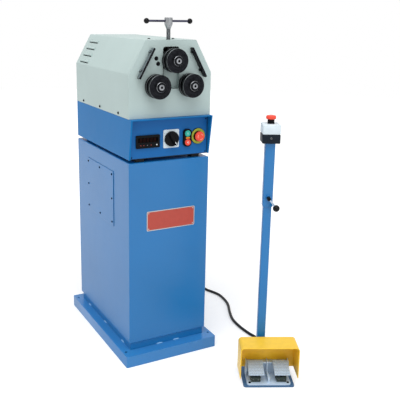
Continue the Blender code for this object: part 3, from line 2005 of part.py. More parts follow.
def post_sleeve():
    """Upper tube that telescopes over the post, with the clamp's boss on its front."""
    carrier = Carrier("sleeve_joint", (post_x, post_y, sleeve_bottom), station)
    bore = sleeve_width - 2 * sleeve_wall
    length = sleeve_top - sleeve_bottom
    outlines = [
        rounded_rectangle(sleeve_width, sleeve_width, sleeve_corner_radius, steps=2),
        rounded_rectangle(bore, bore, post_corner_radius - running_gap, steps=2),
    ]
    sleeve = plate(
        "post_sleeve",
        outlines,
        length,
        (post_x, post_y, sleeve_bottom + length / 2),
        FACING_UP,
        carrier,
        "blue paint",
    )
    face = post_y - sleeve_width / 2
    boss = rod(
        "clamp_boss",
        clamp_boss_radius,
        (post_x, face + sleeve_wall / 2, clamp_height),
        (post_x, face - clamp_boss_length, clamp_height),
        carrier,
        steps=small_steps,
    )
    join(sleeve, boss)
    clamp_lever(carrier, face - clamp_boss_length - running_gap)
    stop_box(carrier)


def clamp_lever(carrier, face):
    """Clamp lever: a hub on the boss, an arm that leans down and out, and a ball."""
    pivot = Vector((post_x, face, clamp_height))
    lever = Carrier("clamp_joint", pivot, carrier)
    hub_end = pivot + TO_FRONT * lever_hub_length
    hub = rod(
        "clamp_lever", lever_hub_radius, pivot, hub_end, lever, "bright steel", steps=small_steps
    )
    root = pivot + TO_FRONT * lever_hub_length / 2
    tip = pivot + Vector((lever_reach_x, -lever_hub_length / 2 - lever_lean, -lever_drop))
    arm = rod("lever_arm", lever_arm_radius, root, tip, lever, steps=8)
    grip = ball("lever_ball", lever_ball_radius, tip, lever)
    join(hub, arm, grip)


def stop_box(carrier):
    """Two-part plastic box on the sleeve: dark base, light lid and the emergency stop."""
    low = stop_box_bottom
    middle = low + stop_box_base
    high = middle + stop_box_lid
    half = stop_box_width / 2
    base = box(
        "stop_box",
        (post_x - half, post_y - half, low),
        (post_x + half, post_y + half, middle - seat_gap),
        carrier,
        "black plastic",
    )
    ease(base, stop_box_corner_radius / 2, 2)
    lid = box(
        "stop_box_lid",
        (post_x - half, post_y - half, middle),
        (post_x + half, post_y + half, high),
        carrier,
        "light plastic",
    )
    ease(lid, stop_box_corner_radius, 2)
    well = rod(
        "lid_bore",
        stop_bore_radius,
        (post_x, post_y, middle - overrun),
        (post_x, post_y, high + overrun),
        carrier,
        steps=small_steps,
    )
    cut(lid, well)
    top = (post_x, post_y, high)
    sizes = (station_mushroom_radius, station_mushroom_height, station_mushroom_stand)
    mushroom_stop("station_stop", top, UP, carrier, *sizes)


base_tray()
cabinet_shell()
side_access_cover()
electrics_plate()
riser_pads()
console_housing()
control_panel()
display_housing()
switch_plate()
switch_knob()
button_bezel()
push_button("start_button", 1, start_proud, "green plastic")
push_button("stop_button", -1, stop_proud, "red plastic")
panel_stop_collar()
panel_stop_at = (stop_x, panel_front - seat_gap, console_base + stop_rise)
mushroom_stop(
    "panel_stop", panel_stop_at, TO_FRONT, machine, mushroom_radius, mushroom_height, mushroom_stand
)
front_plate()
rear_frame_plate()
head_cover()
lower_rolls()
drive_pinion()
gearmotor()
guide_rails()
carriage()
screw_nut_block()
guide_bars()
foot_gland_at = (half_width + seat_gap, foot_gland_y, gland_height)
mains_gland_at = (mains_gland_x, cabinet_back + seat_gap, gland_height)
cable_gland("foot_cable_gland", foot_gland_at, TO_RIGHT, bored=False)
cable_gland("mains_gland", mains_gland_at, TO_BACK, bored=True)
station_plate()
pedal_base()
pedal(-1, "left")
pedal(1, "right")
hood()
station_post()
post_sleeve()
foot_cable()
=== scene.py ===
"""Angle roll bender: finishes, fine pieces, camera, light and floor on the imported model."""

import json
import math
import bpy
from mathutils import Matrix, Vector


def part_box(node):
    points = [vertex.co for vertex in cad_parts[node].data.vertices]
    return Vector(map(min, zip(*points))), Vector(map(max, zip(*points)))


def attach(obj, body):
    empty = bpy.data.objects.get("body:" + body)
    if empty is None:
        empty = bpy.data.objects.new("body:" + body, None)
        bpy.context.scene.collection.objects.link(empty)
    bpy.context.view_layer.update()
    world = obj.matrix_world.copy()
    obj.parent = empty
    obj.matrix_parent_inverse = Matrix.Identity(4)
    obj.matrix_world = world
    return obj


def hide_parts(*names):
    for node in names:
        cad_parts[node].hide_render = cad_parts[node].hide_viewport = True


bl_info = {
    "name": "Angle roll bender",
    "version": (1, 0, 0),
    "blender": (4, 5, 0),
    "location": "3D View > Sidebar > Roll Bender",
    "description": "Dresses a cabinet-mounted angle roll bender with a foot station",
    "category": "Object",
}

import bmesh
import bpy
from bpy.props import FloatProperty, FloatVectorProperty, IntProperty, PointerProperty
from mathutils import Matrix, Vector

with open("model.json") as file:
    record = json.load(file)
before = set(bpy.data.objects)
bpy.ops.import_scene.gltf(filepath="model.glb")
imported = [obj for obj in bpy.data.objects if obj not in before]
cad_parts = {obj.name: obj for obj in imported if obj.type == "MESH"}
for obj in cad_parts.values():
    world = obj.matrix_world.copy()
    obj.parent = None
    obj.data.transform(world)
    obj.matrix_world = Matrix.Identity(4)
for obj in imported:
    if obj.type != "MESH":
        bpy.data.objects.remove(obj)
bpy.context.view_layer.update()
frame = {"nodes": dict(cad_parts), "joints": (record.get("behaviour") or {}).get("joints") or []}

MM = 0.001
HERE = Matrix.Identity(4)
# Turns that take +Z to an outward direction
TO_FRONT = Matrix.Rotation(math.pi / 2, 4, "X")
TO_BACK = Matrix.Rotation(-math.pi / 2, 4, "X")
TO_LEFT = Matrix.Rotation(-math.pi / 2, 4, "Y")
TO_RIGHT = Matrix.Rotation(math.pi / 2, 4, "Y")
SEAT = 0.3 * MM
OVERLAP = 0.2 * MM


def linear(code):
    """Scene-linear colour of an sRGB hex value."""
    parts = [int(code[n : n + 2], 16) / 255 for n in (1, 3, 5)]
    return [p / 12.92 if p <= 0.04045 else ((p + 0.055) / 1.055) ** 2.4 for p in parts]


def per_metre(millimetres):
    """Texture scale of a pattern whose features are this far apart."""
    return 1 / (millimetres * MM)


def mm(*lengths):
    """Lengths in metres from millimetres."""
    return [length * MM for length in lengths]


def middle(node):
    low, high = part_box(node)
    return (low + high) / 2


def joint(name):
    return next(found for found in frame["joints"] if found["name"] == name)


# The foot station's own frame: +X runs along the pedals' hinge, and y is 0 at the plate's front
HINGE_BACK = 70 * MM
hinge = joint("left_pedal_press")
station_turn = Matrix.Rotation(math.atan2(hinge["axis"][1], hinge["axis"][0]), 4, "Z")
hinge_foot = Vector((hinge["pos_m"][0], hinge["pos_m"][1], 0))
STATION = Matrix.Translation(hinge_foot) @ station_turn @ Matrix.Translation((0, -HINGE_BACK, 0))
# Where the post stands across it, and how high the pedal casting's floor is above its foot
POST_X = -19 * MM
PEDAL_BASE_FLOOR = 6 * MM


# ---------------------------------------------------------------- what a user may change


def colour(name, description, code):
    return FloatVectorProperty(
        name=name,
        description=description,
        subtype="COLOR",
        size=3,
        min=0,
        max=1,
        default=linear(code),
    )


def size(name, description, default):
    return FloatProperty(
        name=name, description=description, default=default, min=0, unit="LENGTH", precision=4
    )


class BenderColours(bpy.types.PropertyGroup):
    """Colours of the machine and its foot station."""

    cabinet: colour("Cabinet", "Powder coat of the stand, console and foot station", "#1370B0")
    panel: colour("Panel", "Powder coat of the control panel", "#1463A6")
    head: colour("Head", "Powder coat of the head's plate and cover", "#B4C6C4")
    rolls: colour("Rolls", "Blackened steel of the rolls, carriage and guide bars", "#18191C")
    casting: colour("Pedals", "Coated casting of the foot switch", "#BED2E6")
    guard: colour("Guard", "Moulded guard over the pedals", "#F6C733")
    stop: colour("Stop", "Emergency stop heads and stop button", "#EE5240")
    start: colour("Start", "Start button", "#36B29E")
    collar: colour("Collar", "Ring behind the panel's emergency stop", "#A3AC3A")
    badge: colour("Badge", "Blank name plate on the cabinet", "#B4483C")


class BenderSizes(bpy.types.PropertyGroup):
    """Sizes of the fine pieces."""

    sheet_edge: size("Sheet edge", "Rounding of folded and cut sheet edges", 0.8 * MM)
    machined_edge: size("Machined edge", "Rounding of machined edges", 0.4 * MM)
    cover_edge: size("Cover edge", "Rounding of the thin side cover's edges", 1.7 * MM)
    tray_edge: size("Tray edge", "Rounding of the pressed base tray's edges", 2.2 * MM)
    cast_edge: size("Cast edge", "Rounding of the castings' edges", 0.7 * MM)
    moulded_edge: size("Moulded edge", "Rounding of the moulded pieces' edges", 0.9 * MM)
    thread_pitch: size("Thread pitch", "Pitch of the screw's thread", 4 * MM)
    thread_depth: size("Thread depth", "Depth of the screw's thread", 1.3 * MM)
    head_screw_head: size("Head screws", "Radius of the head cover screws' heads", 5.4 * MM)
    side_screw_head: size("Side screws", "Radius of the side cover screws' heads", 4.2 * MM)
    panel_screw_head: size("Panel screws", "Radius of the panel screws' heads", 2.6 * MM)
    bead_width: size("Weld bead", "Width of the weld beads at the cabinet's foot", 7 * MM)
    badge_width: size("Badge width", "Width of the blank name plate", 206 * MM)
    badge_height: size("Badge height", "Height of the blank name plate", 78 * MM)
    round_steps: IntProperty(
        name="Round steps", description="Facets of a turned piece", default=72, min=16, max=160
    )


# ---------------------------------------------------------------- finishes


def add(tree, kind, inputs=None, to=None, **settings):
    """Add a node with its settings, and return its result. Inputs take values or results."""
    node = tree.nodes.new(kind)
    for name, value in settings.items():
        setattr(node, name, value)
    for name, source in (inputs or {}).items():
        by_name = (found for found in node.inputs if found.enabled and found.name == name)
        socket = node.inputs[name] if isinstance(name, int) else next(by_name)
        if isinstance(source, bpy.types.NodeSocket):
            tree.links.new(source, socket)
        else:
            socket.default_value = source
    result = next((found for found in node.outputs if found.enabled), None)
    if to:
        tree.links.new(result, to)
    return result


def start_finish(name, **values):
    """A material with its shader set to constant values, and the place of a point on its object."""
    made = bpy.data.materials.new(name)
    made.use_nodes = True
    tree = made.node_tree
    shader = tree.nodes["Principled BSDF"].inputs
    for socket, value in values.items():
        shader[socket.replace("_", " ")].default_value = value
    place = add(tree, "ShaderNodeTexCoord").node.outputs["Object"]
    return tree, shader, place


def shade(tint, factor):
    """A colour made lighter or darker, as a node takes it."""
    return (*(min(1, part * factor) for part in tint), 1)


def vary(tree, shader, tint, pattern, shades, roughness, sheen=None):
    """Take a finish between two shades of its colour and two roughnesses, as patterns say."""
    colours = {"Factor": pattern, "A": shade(tint, shades[0]), "B": shade(tint, shades[1])}
    add(tree, "ShaderNodeMix", colours, shader["Base Color"], data_type="RGBA")
    spread = {"Value": sheen or pattern, "To Min": roughness[0], "To Max": roughness[1]}
    add(tree, "ShaderNodeMapRange", spread, shader["Roughness"])


def fine_relief(tree, shader, place, spacing_mm, detail, strength, depth_mm):
    """Bumps this far apart and this deep, for the light to catch on."""
    bumps = {"Vector": place, "Scale": per_metre(spacing_mm), "Detail": detail}
    bumps = add(tree, "ShaderNodeTexNoise", bumps)
    relief = {"Height": bumps, "Strength": strength, "Distance": depth_mm * MM}
    add(tree, "ShaderNodeBump", relief, shader["Normal"])


def powder_coat(name, tint, gloss, level):
    """Polyester powder coat, sprayed and baked on sheet steel.

    It has an even colour with slow clouds, a satin gloss, and the waviness of cured powder.
    The real waves are 2 mm across, drawn at 7 mm so that they show.
    """
    tree, shader, place = start_finish(name, IOR=1.5, Specular_IOR_Level=level)
    clouds = {"Vector": place, "Scale": per_metre(240), "Detail": 4.0}
    clouds = add(tree, "ShaderNodeTexNoise", clouds)
    handling = {"Vector": place, "Scale": per_metre(45), "Detail": 6.0}
    handling = add(tree, "ShaderNodeTexNoise", handling)
    glosses = (gloss * 0.9, gloss * 1.1)
    vary(tree, shader, tint, clouds, shades=(0.90, 1.10), roughness=glosses, sheen=handling)
    fine_relief(tree, shader, place, spacing_mm=7, detail=1.0, strength=0.5, depth_mm=0.06)


def blackened_steel(name, tint, turned):
    """Machined steel, blackened in a hot salt bath and oiled: near-black with a soft sheen.

    Turned pieces keep the rings of the tool round their Z axis.
    Real rings are 0.1 mm apart, drawn at 1.2 mm so that they show; a mill's marks at 0.9 mm.
    """
    tree, shader, place = start_finish(name, Metallic=1.0)
    smear = {"Vector": place, "Scale": per_metre(11), "Detail": 6.0}
    smear = add(tree, "ShaderNodeTexNoise", smear)
    mark, spacing_mm = place, 0.9
    if turned:
        flat = add(tree, "ShaderNodeVectorMath", {0: place, 1: (1, 1, 0)}, operation="MULTIPLY")
        radius = add(tree, "ShaderNodeVectorMath", {0: flat}, operation="LENGTH")
        along = add(tree, "ShaderNodeSeparateXYZ", {0: place}).node.outputs["Z"]
        mark = add(tree, "ShaderNodeCombineXYZ", {"X": radius, "Y": along})
        spacing_mm = 1.2
    rings = {"Vector": mark, "Scale": per_metre(spacing_mm), "Detail": 2.0}
    rings = add(tree, "ShaderNodeTexNoise", rings)
    worn = add(tree, "ShaderNodeMath", {0: smear, 1: rings}, operation="MULTIPLY")
    worn = {"Value": worn, "From Min": 0.12, "From Max": 0.42, "To Min": 0.5, "To Max": 2.1}
    worn = add(tree, "ShaderNodeMapRange", worn)
    tinted = {0: (*tint,), "Scale": worn}
    add(tree, "ShaderNodeVectorMath", tinted, shader["Base Color"], operation="SCALE")
    spread = {"Value": smear, "To Min": 0.34, "To Max": 0.52}
    add(tree, "ShaderNodeMapRange", spread, shader["Roughness"])
    relief = {"Height": rings, "Strength": 0.5, "Distance": 0.03 * MM}
    add(tree, "ShaderNodeBump", relief, shader["Normal"])


def bare_steel(name, tint, roughness, stretch, spacing_mm):
    """Bare machined steel, lightly oiled: grey and bright, streaked along the tool's way.

    Real marks are 0.1 mm apart, drawn coarser so that they show.
    """
    tree, shader, place = start_finish(name, Metallic=1.0)
    along = add(tree, "ShaderNodeMapping", {0: place, "Scale": stretch})
    marks = {"Vector": along, "Scale": per_metre(spacing_mm), "Detail": 4.0}
    marks = add(tree, "ShaderNodeTexNoise", marks)
    oil = {"Vector": place, "Scale": per_metre(10), "Detail": 4.0}
    oil = add(tree, "ShaderNodeTexNoise", oil)
    both = add(tree, "ShaderNodeMath", {0: marks, 1: oil}, operation="MULTIPLY")
    both = add(tree, "ShaderNodeMapRange", {"Value": both, "From Min": 0.12, "From Max": 0.4})
    glosses = (roughness * 0.75, roughness * 1.3)
    vary(tree, shader, tint, both, shades=(0.62, 1.15), roughness=glosses, sheen=oil)
    relief = {"Height": marks, "Strength": 0.4, "Distance": 0.01 * MM}
    add(tree, "ShaderNodeBump", relief, shader["Normal"])


def plated_steel(name, tint, roughness):
    """Zinc-plated or chromed steel: pale and bright, slightly clouded, with no tool marks.

    Chrome looks a little bluer than zinc, because of its own colour.
    """
    tree, shader, place = start_finish(name, Metallic=1.0)
    bloom = {"Vector": place, "Scale": per_metre(7), "Detail": 4.0}
    bloom = add(tree, "ShaderNodeTexNoise", bloom)
    glosses = (roughness * 0.9, roughness * 1.3)
    vary(tree, shader, tint, bloom, shades=(0.80, 1.08), roughness=glosses)


def coated_casting(name, tint):
    """Die-cast aluminium with a thin coat: pale, finely pebbled, half matt.

    Real pebbles are 0.3 mm across, drawn at 1.1 mm so that they show.
    """
    tree, shader, place = start_finish(name, IOR=1.5, Specular_IOR_Level=0.3)
    clouds = {"Vector": place, "Scale": per_metre(26), "Detail": 5.0}
    clouds = add(tree, "ShaderNodeTexNoise", clouds)
    vary(tree, shader, tint, clouds, shades=(0.82, 1.14), roughness=(0.42, 0.6))
    fine_relief(tree, shader, place, spacing_mm=1.1, detail=2.0, strength=0.6, depth_mm=0.05)


def studded_casting(name, tint):
    """The same casting, cast with small studs 5 mm apart for grip, and darker between them."""
    tree, shader, place = start_finish(name, IOR=1.5, Specular_IOR_Level=0.3, Roughness=0.52)
    studs = {"Vector": place, "Scale": per_metre(5), "Randomness": 0.25}
    studs = add(tree, "ShaderNodeTexVoronoi", studs)
    colours = {"Factor": studs, "A": shade(tint, 1.12), "B": shade(tint, 0.45)}
    add(tree, "ShaderNodeMix", colours, shader["Base Color"], data_type="RGBA")
    relief = {"Height": studs, "Strength": 0.6, "Distance": -0.8 * MM}
    add(tree, "ShaderNodeBump", relief, shader["Normal"])


def moulded(name, tint, roughness, level, grain_mm, ior=1.53):
    """Injection-moulded plastic: an even colour under the fine grain of a spark-eroded mould.

    Real grain is 0.1 mm across, drawn coarser so that it shows. Ink and enamel look as even.
    """
    tree, shader, place = start_finish(name, IOR=ior, Specular_IOR_Level=level)
    mottle = {"Vector": place, "Scale": per_metre(20), "Detail": 4.0}
    mottle = add(tree, "ShaderNodeTexNoise", mottle)
    glosses = (roughness * 0.85, roughness * 1.15)
    vary(tree, shader, tint, mottle, shades=(0.90, 1.10), roughness=glosses)
    fine_relief(tree, shader, place, grain_mm, detail=1.0, strength=0.5, depth_mm=0.015)


def moulded_rubber(name, tint, roughness):
    """Moulded rubber or cable jacket: black going to grey where it is handled, quite matt.

    The skin's real grain is 0.3 mm across, drawn at 1.4 mm so that it shows.
    """
    tree, shader, place = start_finish(name, IOR=1.52, Specular_IOR_Level=0.25)
    dust = {"Vector": place, "Scale": per_metre(12), "Detail": 5.0}
    dust = add(tree, "ShaderNodeTexNoise", dust)
    glosses = (roughness * 0.9, roughness * 1.1)
    vary(tree, shader, tint, dust, shades=(0.7, 1.6), roughness=glosses)
    fine_relief(tree, shader, place, spacing_mm=1.4, detail=2.0, strength=0.5, depth_mm=0.03)


ALONG_HEIGHT = (1, 1, 0.05)
ROUND_ABOUT = (0.05, 0.05, 1)
ALL_WAYS = (1, 1, 1)


def make_finishes(colours):
    """All of the machine's materials, by name."""
    for part, tint, gloss, level in (
        ("cabinet", colours.cabinet, 0.32, 0.50),
        ("console", colours.cabinet, 0.40, 0.10),
        ("panel", colours.panel, 0.44, 0.20),
        ("grey_green", colours.head, 0.44, 0.25),
        ("tray", linear("#307DBD"), 0.32, 0.50),
        # The weld's lighter blue is a painted highlight of the cabinet's paint on the beads
        ("weld", linear("#7DB1DE"), 0.32, 0.60),
        ("floor_plate", linear("#3E6389"), 0.50, 0.25),
    ):
        powder_coat("powder_coat_" + part, tint, gloss, level)
    blackened_steel("blackened_steel_turned", colours.rolls, turned=True)
    blackened_steel("blackened_steel_milled", colours.rolls, turned=False)
    for name, code, roughness, stretch, spacing_mm in (
        # Lighter steel of worn edges, also a painted highlight on the rolls' rims
        ("worn_steel_edge", "#5C6062", 0.34, ALL_WAYS, 3),
        # Bright steel of worn faces, also a painted highlight on the guide bars
        ("worn_steel_face", "#9CA2A8", 0.36, ALONG_HEIGHT, 2),
        ("turned_steel", "#8C8F92", 0.32, ROUND_ABOUT, 1),
        ("bolt_steel", "#8B8E92", 0.30, ALL_WAYS, 4),
        ("screw_steel", "#6A6D70", 0.34, ROUND_ABOUT, 1.5),
        ("hub_steel", "#9A9DA0", 0.32, ROUND_ABOUT, 1.5),
        ("blued_bar_steel", "#4A4A5C", 0.28, ALONG_HEIGHT, 2),
        ("ground_steel", "#8D9092", 0.34, ALONG_HEIGHT, 1.2),
    ):
        bare_steel(name, linear(code), roughness, stretch, spacing_mm)
    for name, code, roughness in (
        ("chromed_steel", "#A3B2C4", 0.14),
        ("zinc_plated_steel", "#B4B6B6", 0.34),
        ("galvanised_sheet", "#A4A9AC", 0.38),
        ("black_zinc_steel", "#1A1B1E", 0.34),
    ):
        plated_steel(name, linear(code), roughness)
    coated_casting("coated_casting_grey", colours.casting)
    studded_casting("coated_casting_studded", colours.casting)
    coated_casting("enamelled_casting_motor", linear("#5A626C"))
    for name, tint, roughness, level, grain_mm in (
        ("moulded_abs_black", linear("#0C0D10"), 0.45, 0.07, 0.9),
        ("moulded_abs_dark_green", linear("#3A4440"), 0.50, 0.14, 0.9),
        ("moulded_abs_dark_blue", linear("#101A24"), 0.45, 0.12, 0.9),
        ("moulded_abs_light", linear("#D6E3EA"), 0.44, 0.25, 0.9),
        ("moulded_abs_yellow", colours.guard, 0.35, 0.35, 1.0),
        ("moulded_nylon_collar", colours.collar, 0.42, 0.2, 0.9),
        ("moulded_nylon_red", colours.stop, 0.34, 0.2, 1.2),
        ("moulded_nylon_green", colours.start, 0.34, 0.2, 1.2),
        ("unlit_segments", linear("#2E0E0B"), 0.35, 0.05, 2.0),
        ("printed_ink_white", linear("#E4E8E8"), 0.50, 0.2, 0.6),
        ("printed_ink_red", linear("#A8473D"), 0.50, 0.2, 0.6),
        ("printed_ink_pale", linear("#F5A391"), 0.50, 0.2, 0.6),
        ("printed_ink_grey", linear("#7D8286"), 0.50, 0.2, 0.6),
        # Black ink for print, also used as painted shade on socket floors
        ("printed_ink_black", linear("#0D0E10"), 0.50, 0.1, 0.6),
        ("enamelled_badge", colours.badge, 0.35, 0.3, 1.6),
    ):
        moulded(name, tint, roughness, level, grain_mm)
    moulded("moulded_phenolic_black", linear("#08080B"), 0.16, 0.12, 6.0, ior=1.6)
    moulded("moulded_acrylic_amber", linear("#E8861E"), 0.18, 0.3, 4.0, ior=1.49)
    moulded("moulded_acrylic_smoked", linear("#050404"), 0.12, 0.02, 8.0, ior=1.49)
    moulded_rubber("moulded_rubber_black", linear("#151618"), 0.72)
    moulded_rubber("cable_jacket_black", linear("#131416"), 0.48)


# Which finish each piece of the model takes, and which edge it has
CARRIED_OVER = {
    ("powder_coat_cabinet", "sheet_edge"): "cabinet_shell station_post post_sleeve",
    ("powder_coat_cabinet", "cover_edge"): "side_access_cover",
    ("powder_coat_tray", "tray_edge"): "base_tray",
    ("powder_coat_floor_plate", "sheet_edge"): "station_plate",
    ("powder_coat_console", "sheet_edge"): "console_housing",
    ("powder_coat_panel", "machined_edge"): "control_panel",
    ("powder_coat_grey_green", "sheet_edge"): "front_plate head_cover slot_shield",
    ("blackened_steel_milled", "machined_edge"): (
        "carriage_block left_guide_bar right_guide_bar guide_rail_left guide_rail_right"
    ),
    ("ground_steel", "machined_edge"): (
        "rear_frame_plate lower_left_gear lower_right_gear drive_pinion screw_nut_block"
    ),
    ("coated_casting_grey", "cast_edge"): "pedal_base",
    ("coated_casting_studded", "cast_edge"): "left_pedal right_pedal",
    ("enamelled_casting_motor", "cast_edge"): "gearmotor",
    ("galvanised_sheet", "machined_edge"): "electrics_plate",
    ("moulded_rubber_black", "machined_edge"): (
        "riser_pad_front_left riser_pad_rear_left riser_pad_front_right riser_pad_rear_right"
    ),
    ("moulded_abs_dark_blue", "moulded_edge"): "stop_box",
    ("moulded_abs_light", "moulded_edge"): "stop_box_lid switch_plate",
}


def round_edges(made, width, angle_deg=35.0, steps=2):
    """Round an object's sharp edges as the real ones are, and keep its flats flat."""
    weld = made.modifiers.new("Weld", "WELD")
    weld.merge_threshold = 0.02 * MM
    bevel = made.modifiers.new("Edges", "BEVEL")
    bevel.width = width
    bevel.segments = steps
    bevel.limit_method = "ANGLE"
    bevel.angle_limit = math.radians(angle_deg)
    bevel.harden_normals = True
    made.data.shade_smooth()


def dress(node, finish, edge):
    """Give a piece of the model its finish and its rounded edges."""
    made = frame["nodes"][node]
    made.data.materials.clear()
    made.data.materials.append(bpy.data.materials[finish])
    if "custom_normal" in made.data.attributes:
        made.data.attributes.remove(made.data.attributes["custom_normal"])
    round_edges(made, edge)


# ---------------------------------------------------------------- shapes


def circle(radius, centre=(0, 0), steps=48):
    turns = [math.tau * n / steps for n in range(steps)]
    return [(centre[0] + radius * math.cos(a), centre[1] + radius * math.sin(a)) for a in turns]


def arc(centre, radius, start_deg, end_deg, steps):
    turns = [math.radians(start_deg + (end_deg - start_deg) * n / steps) for n in range(steps + 1)]
    return [(centre[0] + radius * math.cos(a), centre[1] + radius * math.sin(a)) for a in turns]


def rounded_box(width, height, radii, centre=(0, 0), steps=8):
    """A rectangle's outline; radii for its low left, low right, high right and high left."""
    points = []
    sides = (-1, -1), (1, -1), (1, 1), (-1, 1)
    for (side_x, side_y), radius, start in zip(sides, radii, (180, 270, 0, 90)):
        x = centre[0] + side_x * (width / 2 - radius)
        y = centre[1] + side_y * (height / 2 - radius)
        points += arc((x, y), radius, start, start + 90, steps) if radius else [(x, y)]
    return points


def rounded_rectangle(width, height, radius, centre=(0, 0), steps=8):
    return rounded_box(width, height, [radius] * 4, centre, steps)


class Piece:
    """One mesh, built up from shapes in a frame of its own."""

    def __init__(self, name, place=HERE):
        self.name = name
        self.place = place
        self.shape = bmesh.new()
        self.finishes = []

    def take(self, part, finish, at):
        """Add a shape in one finish."""
        if finish not in self.finishes:
            self.finishes.append(finish)
        for face in part.faces:
            face.material_index = self.finishes.index(finish)
        part.transform(at)
        mesh = bpy.data.meshes.new(self.name)
        part.to_mesh(mesh)
        part.free()
        self.shape.from_mesh(mesh)
        bpy.data.meshes.remove(mesh)

    def rings(self, rings, finish, at=HERE):
        """Skin rings of points; a ring of one point closes to a tip."""
        part = bmesh.new()
        rings = [[part.verts.new(point) for point in ring] for ring in rings]
        for upper, lower in zip(rings, rings[1:]):
            count = max(len(upper), len(lower))
            for n in range(count):
                m = (n + 1) % count
                corners = [
                    upper[n % len(upper)],
                    lower[n % len(lower)],
                    lower[m % len(lower)],
                    upper[m % len(upper)],
                ]
                corners = list(dict.fromkeys(corners))
                if len(corners) > 2:
                    part.faces.new(corners)
        self.take(part, finish, at)

    def turned(self, profile, finish, at=HERE, steps=72):
        """Revolve (radius, height) points about Z. A third number gives that ring flat sides."""
        rings = []
        for radius, height, *sides in profile:
            if radius == 0:
                rings.append([(0, 0, height)])
                continue
            ring = []
            for n in range(steps):
                angle = math.tau * n / steps
                reach = radius
                if sides:
                    span = math.tau / sides[0]
                    reach *= math.cos(span / 2) / math.cos(angle % span - span / 2)
                ring.append((reach * math.cos(angle), reach * math.sin(angle), height))
            rings.append(ring)
        self.rings(rings, finish, at)

    def slab(self, outlines, low, high, finish, at=HERE):
        """Raise flat outlines from one height to another; those inside the first are openings."""
        part = bmesh.new()
        loops = [[part.verts.new((x, y, low)) for x, y in outline] for outline in outlines]
        edges = [
            part.edges.new(pair) for loop in loops for pair in zip(loop, loop[1:] + loop[:1])
        ]
        if len(loops) == 1:
            part.faces.new(loops[0])
        else:
            bmesh.ops.triangle_fill(part, edges=edges, use_beauty=True)
        top = {vert: part.verts.new((vert.co.x, vert.co.y, high)) for vert in part.verts[:]}
        for face in part.faces[:]:
            part.faces.new([top[vert] for vert in reversed(face.verts)])
        for edge in edges:
            a, b = edge.verts
            part.faces.new([a, b, top[b], top[a]])
        self.take(part, finish, at)

    def box(self, low, high, finish, at=HERE):
        outline = [(low[0], low[1]), (high[0], low[1]), (high[0], high[1]), (low[0], high[1])]
        self.slab([outline], low[2], high[2], finish, at)

    def ball(self, radius, finish, at=HERE, steps=32):
        half = steps // 2
        turns = [math.pi * n / half for n in range(half + 1)]
        profile = [(radius * math.sin(a), radius * math.cos(a)) for a in turns]
        profile[0] = (0, radius)
        profile[-1] = (0, -radius)
        self.turned(profile, finish, at, steps)

    def tube(self, points, radius, finish, steps=16):
        """A round tube along points, with filled ends. Radius is a number or one for each point."""
        points = [Vector(point) for point in points]
        radii = radius if isinstance(radius, list) else [radius] * len(points)
        ways = [(b - a).normalized() for a, b in zip(points, points[1:])]
        ways = [ways[0], *((a + b).normalized() for a, b in zip(ways, ways[1:])), ways[-1]]
        across = ways[0].orthogonal().normalized()
        turns = [math.tau * n / steps for n in range(steps)]
        rings = [[points[0]]]
        for point, way, reach in zip(points, ways, radii):
            across = (across - way * across.dot(way)).normalized()
            up = way.cross(across)
            rings.append(
                [point + (across * math.cos(a) + up * math.sin(a)) * reach for a in turns]
            )
        rings.append([points[-1]])
        self.rings(rings, finish)

    def made(self, edge=0.0, angle_deg=35.0):
        """Weld the shapes into one object, and set it in place."""
        bmesh.ops.remove_doubles(self.shape, verts=self.shape.verts, dist=0.002 * MM)
        bmesh.ops.recalc_face_normals(self.shape, faces=self.shape.faces)
        mesh = bpy.data.meshes.new(self.name)
        self.shape.to_mesh(mesh)
        self.shape.free()
        for finish in self.finishes:
            mesh.materials.append(bpy.data.materials[finish])
        made = bpy.data.objects.new(self.name, mesh)
        bpy.context.scene.collection.objects.link(made)
        made.matrix_world = self.place
        if edge:
            round_edges(made, edge, angle_deg)
        else:
            mesh.shade_smooth()
            mesh.set_sharp_from_angle(angle=math.radians(angle_deg))
        return made

    def done(self, body, slot, *nodes, edge=0.0, angle_deg=35.0):
        """Put the finished piece on a body, and let it stand for the nodes."""
        made = self.made(edge, angle_deg)
        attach(made, body)
        if nodes:
            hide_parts(*nodes)
        return made


def at_place(x, y, z, turn=HERE):
    return Matrix.Translation((x, y, z)) @ turn


def front_of(node):
    """A piece's corners, and a place in the middle of its front, turned to look out of it."""
    low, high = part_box(node)
    spot = middle(node)
    return low, high, at_place(spot.x, low.y, spot.z, TO_FRONT)


def socket_screw(piece, radius, finish, at):
    """A low button-head screw with a hexagon socket."""
    height, key, steps = radius * 0.62, radius * 0.48, 24
    floor = height * 0.35
    turns = [math.radians(turn) for turn in (0, 20, 40, 58)]
    dome = [(radius * math.cos(a), height * (0.2 + 0.8 * math.sin(a))) for a in turns]
    lip = [(key * 1.12, height), (key, height, 6), (key, floor, 6)]
    piece.turned([(radius, -OVERLAP), *dome, *lip], finish, at, steps)
    # The socket's floor in black: painted shade at the bottom of the socket
    piece.turned([(key, floor, 6), (0, height * 0.3)], "printed_ink_black", at, steps)


def screw_set(name, radius, finish, spots, place=HERE):
    """One piece of equal screws on the base."""
    screws = Piece(name, place)
    for spot in spots:
        socket_screw(screws, radius, finish, spot)
    screws.done("base", "blackened_steel", angle_deg=30)


# ---------------------------------------------------------------- cable, on its solids' line

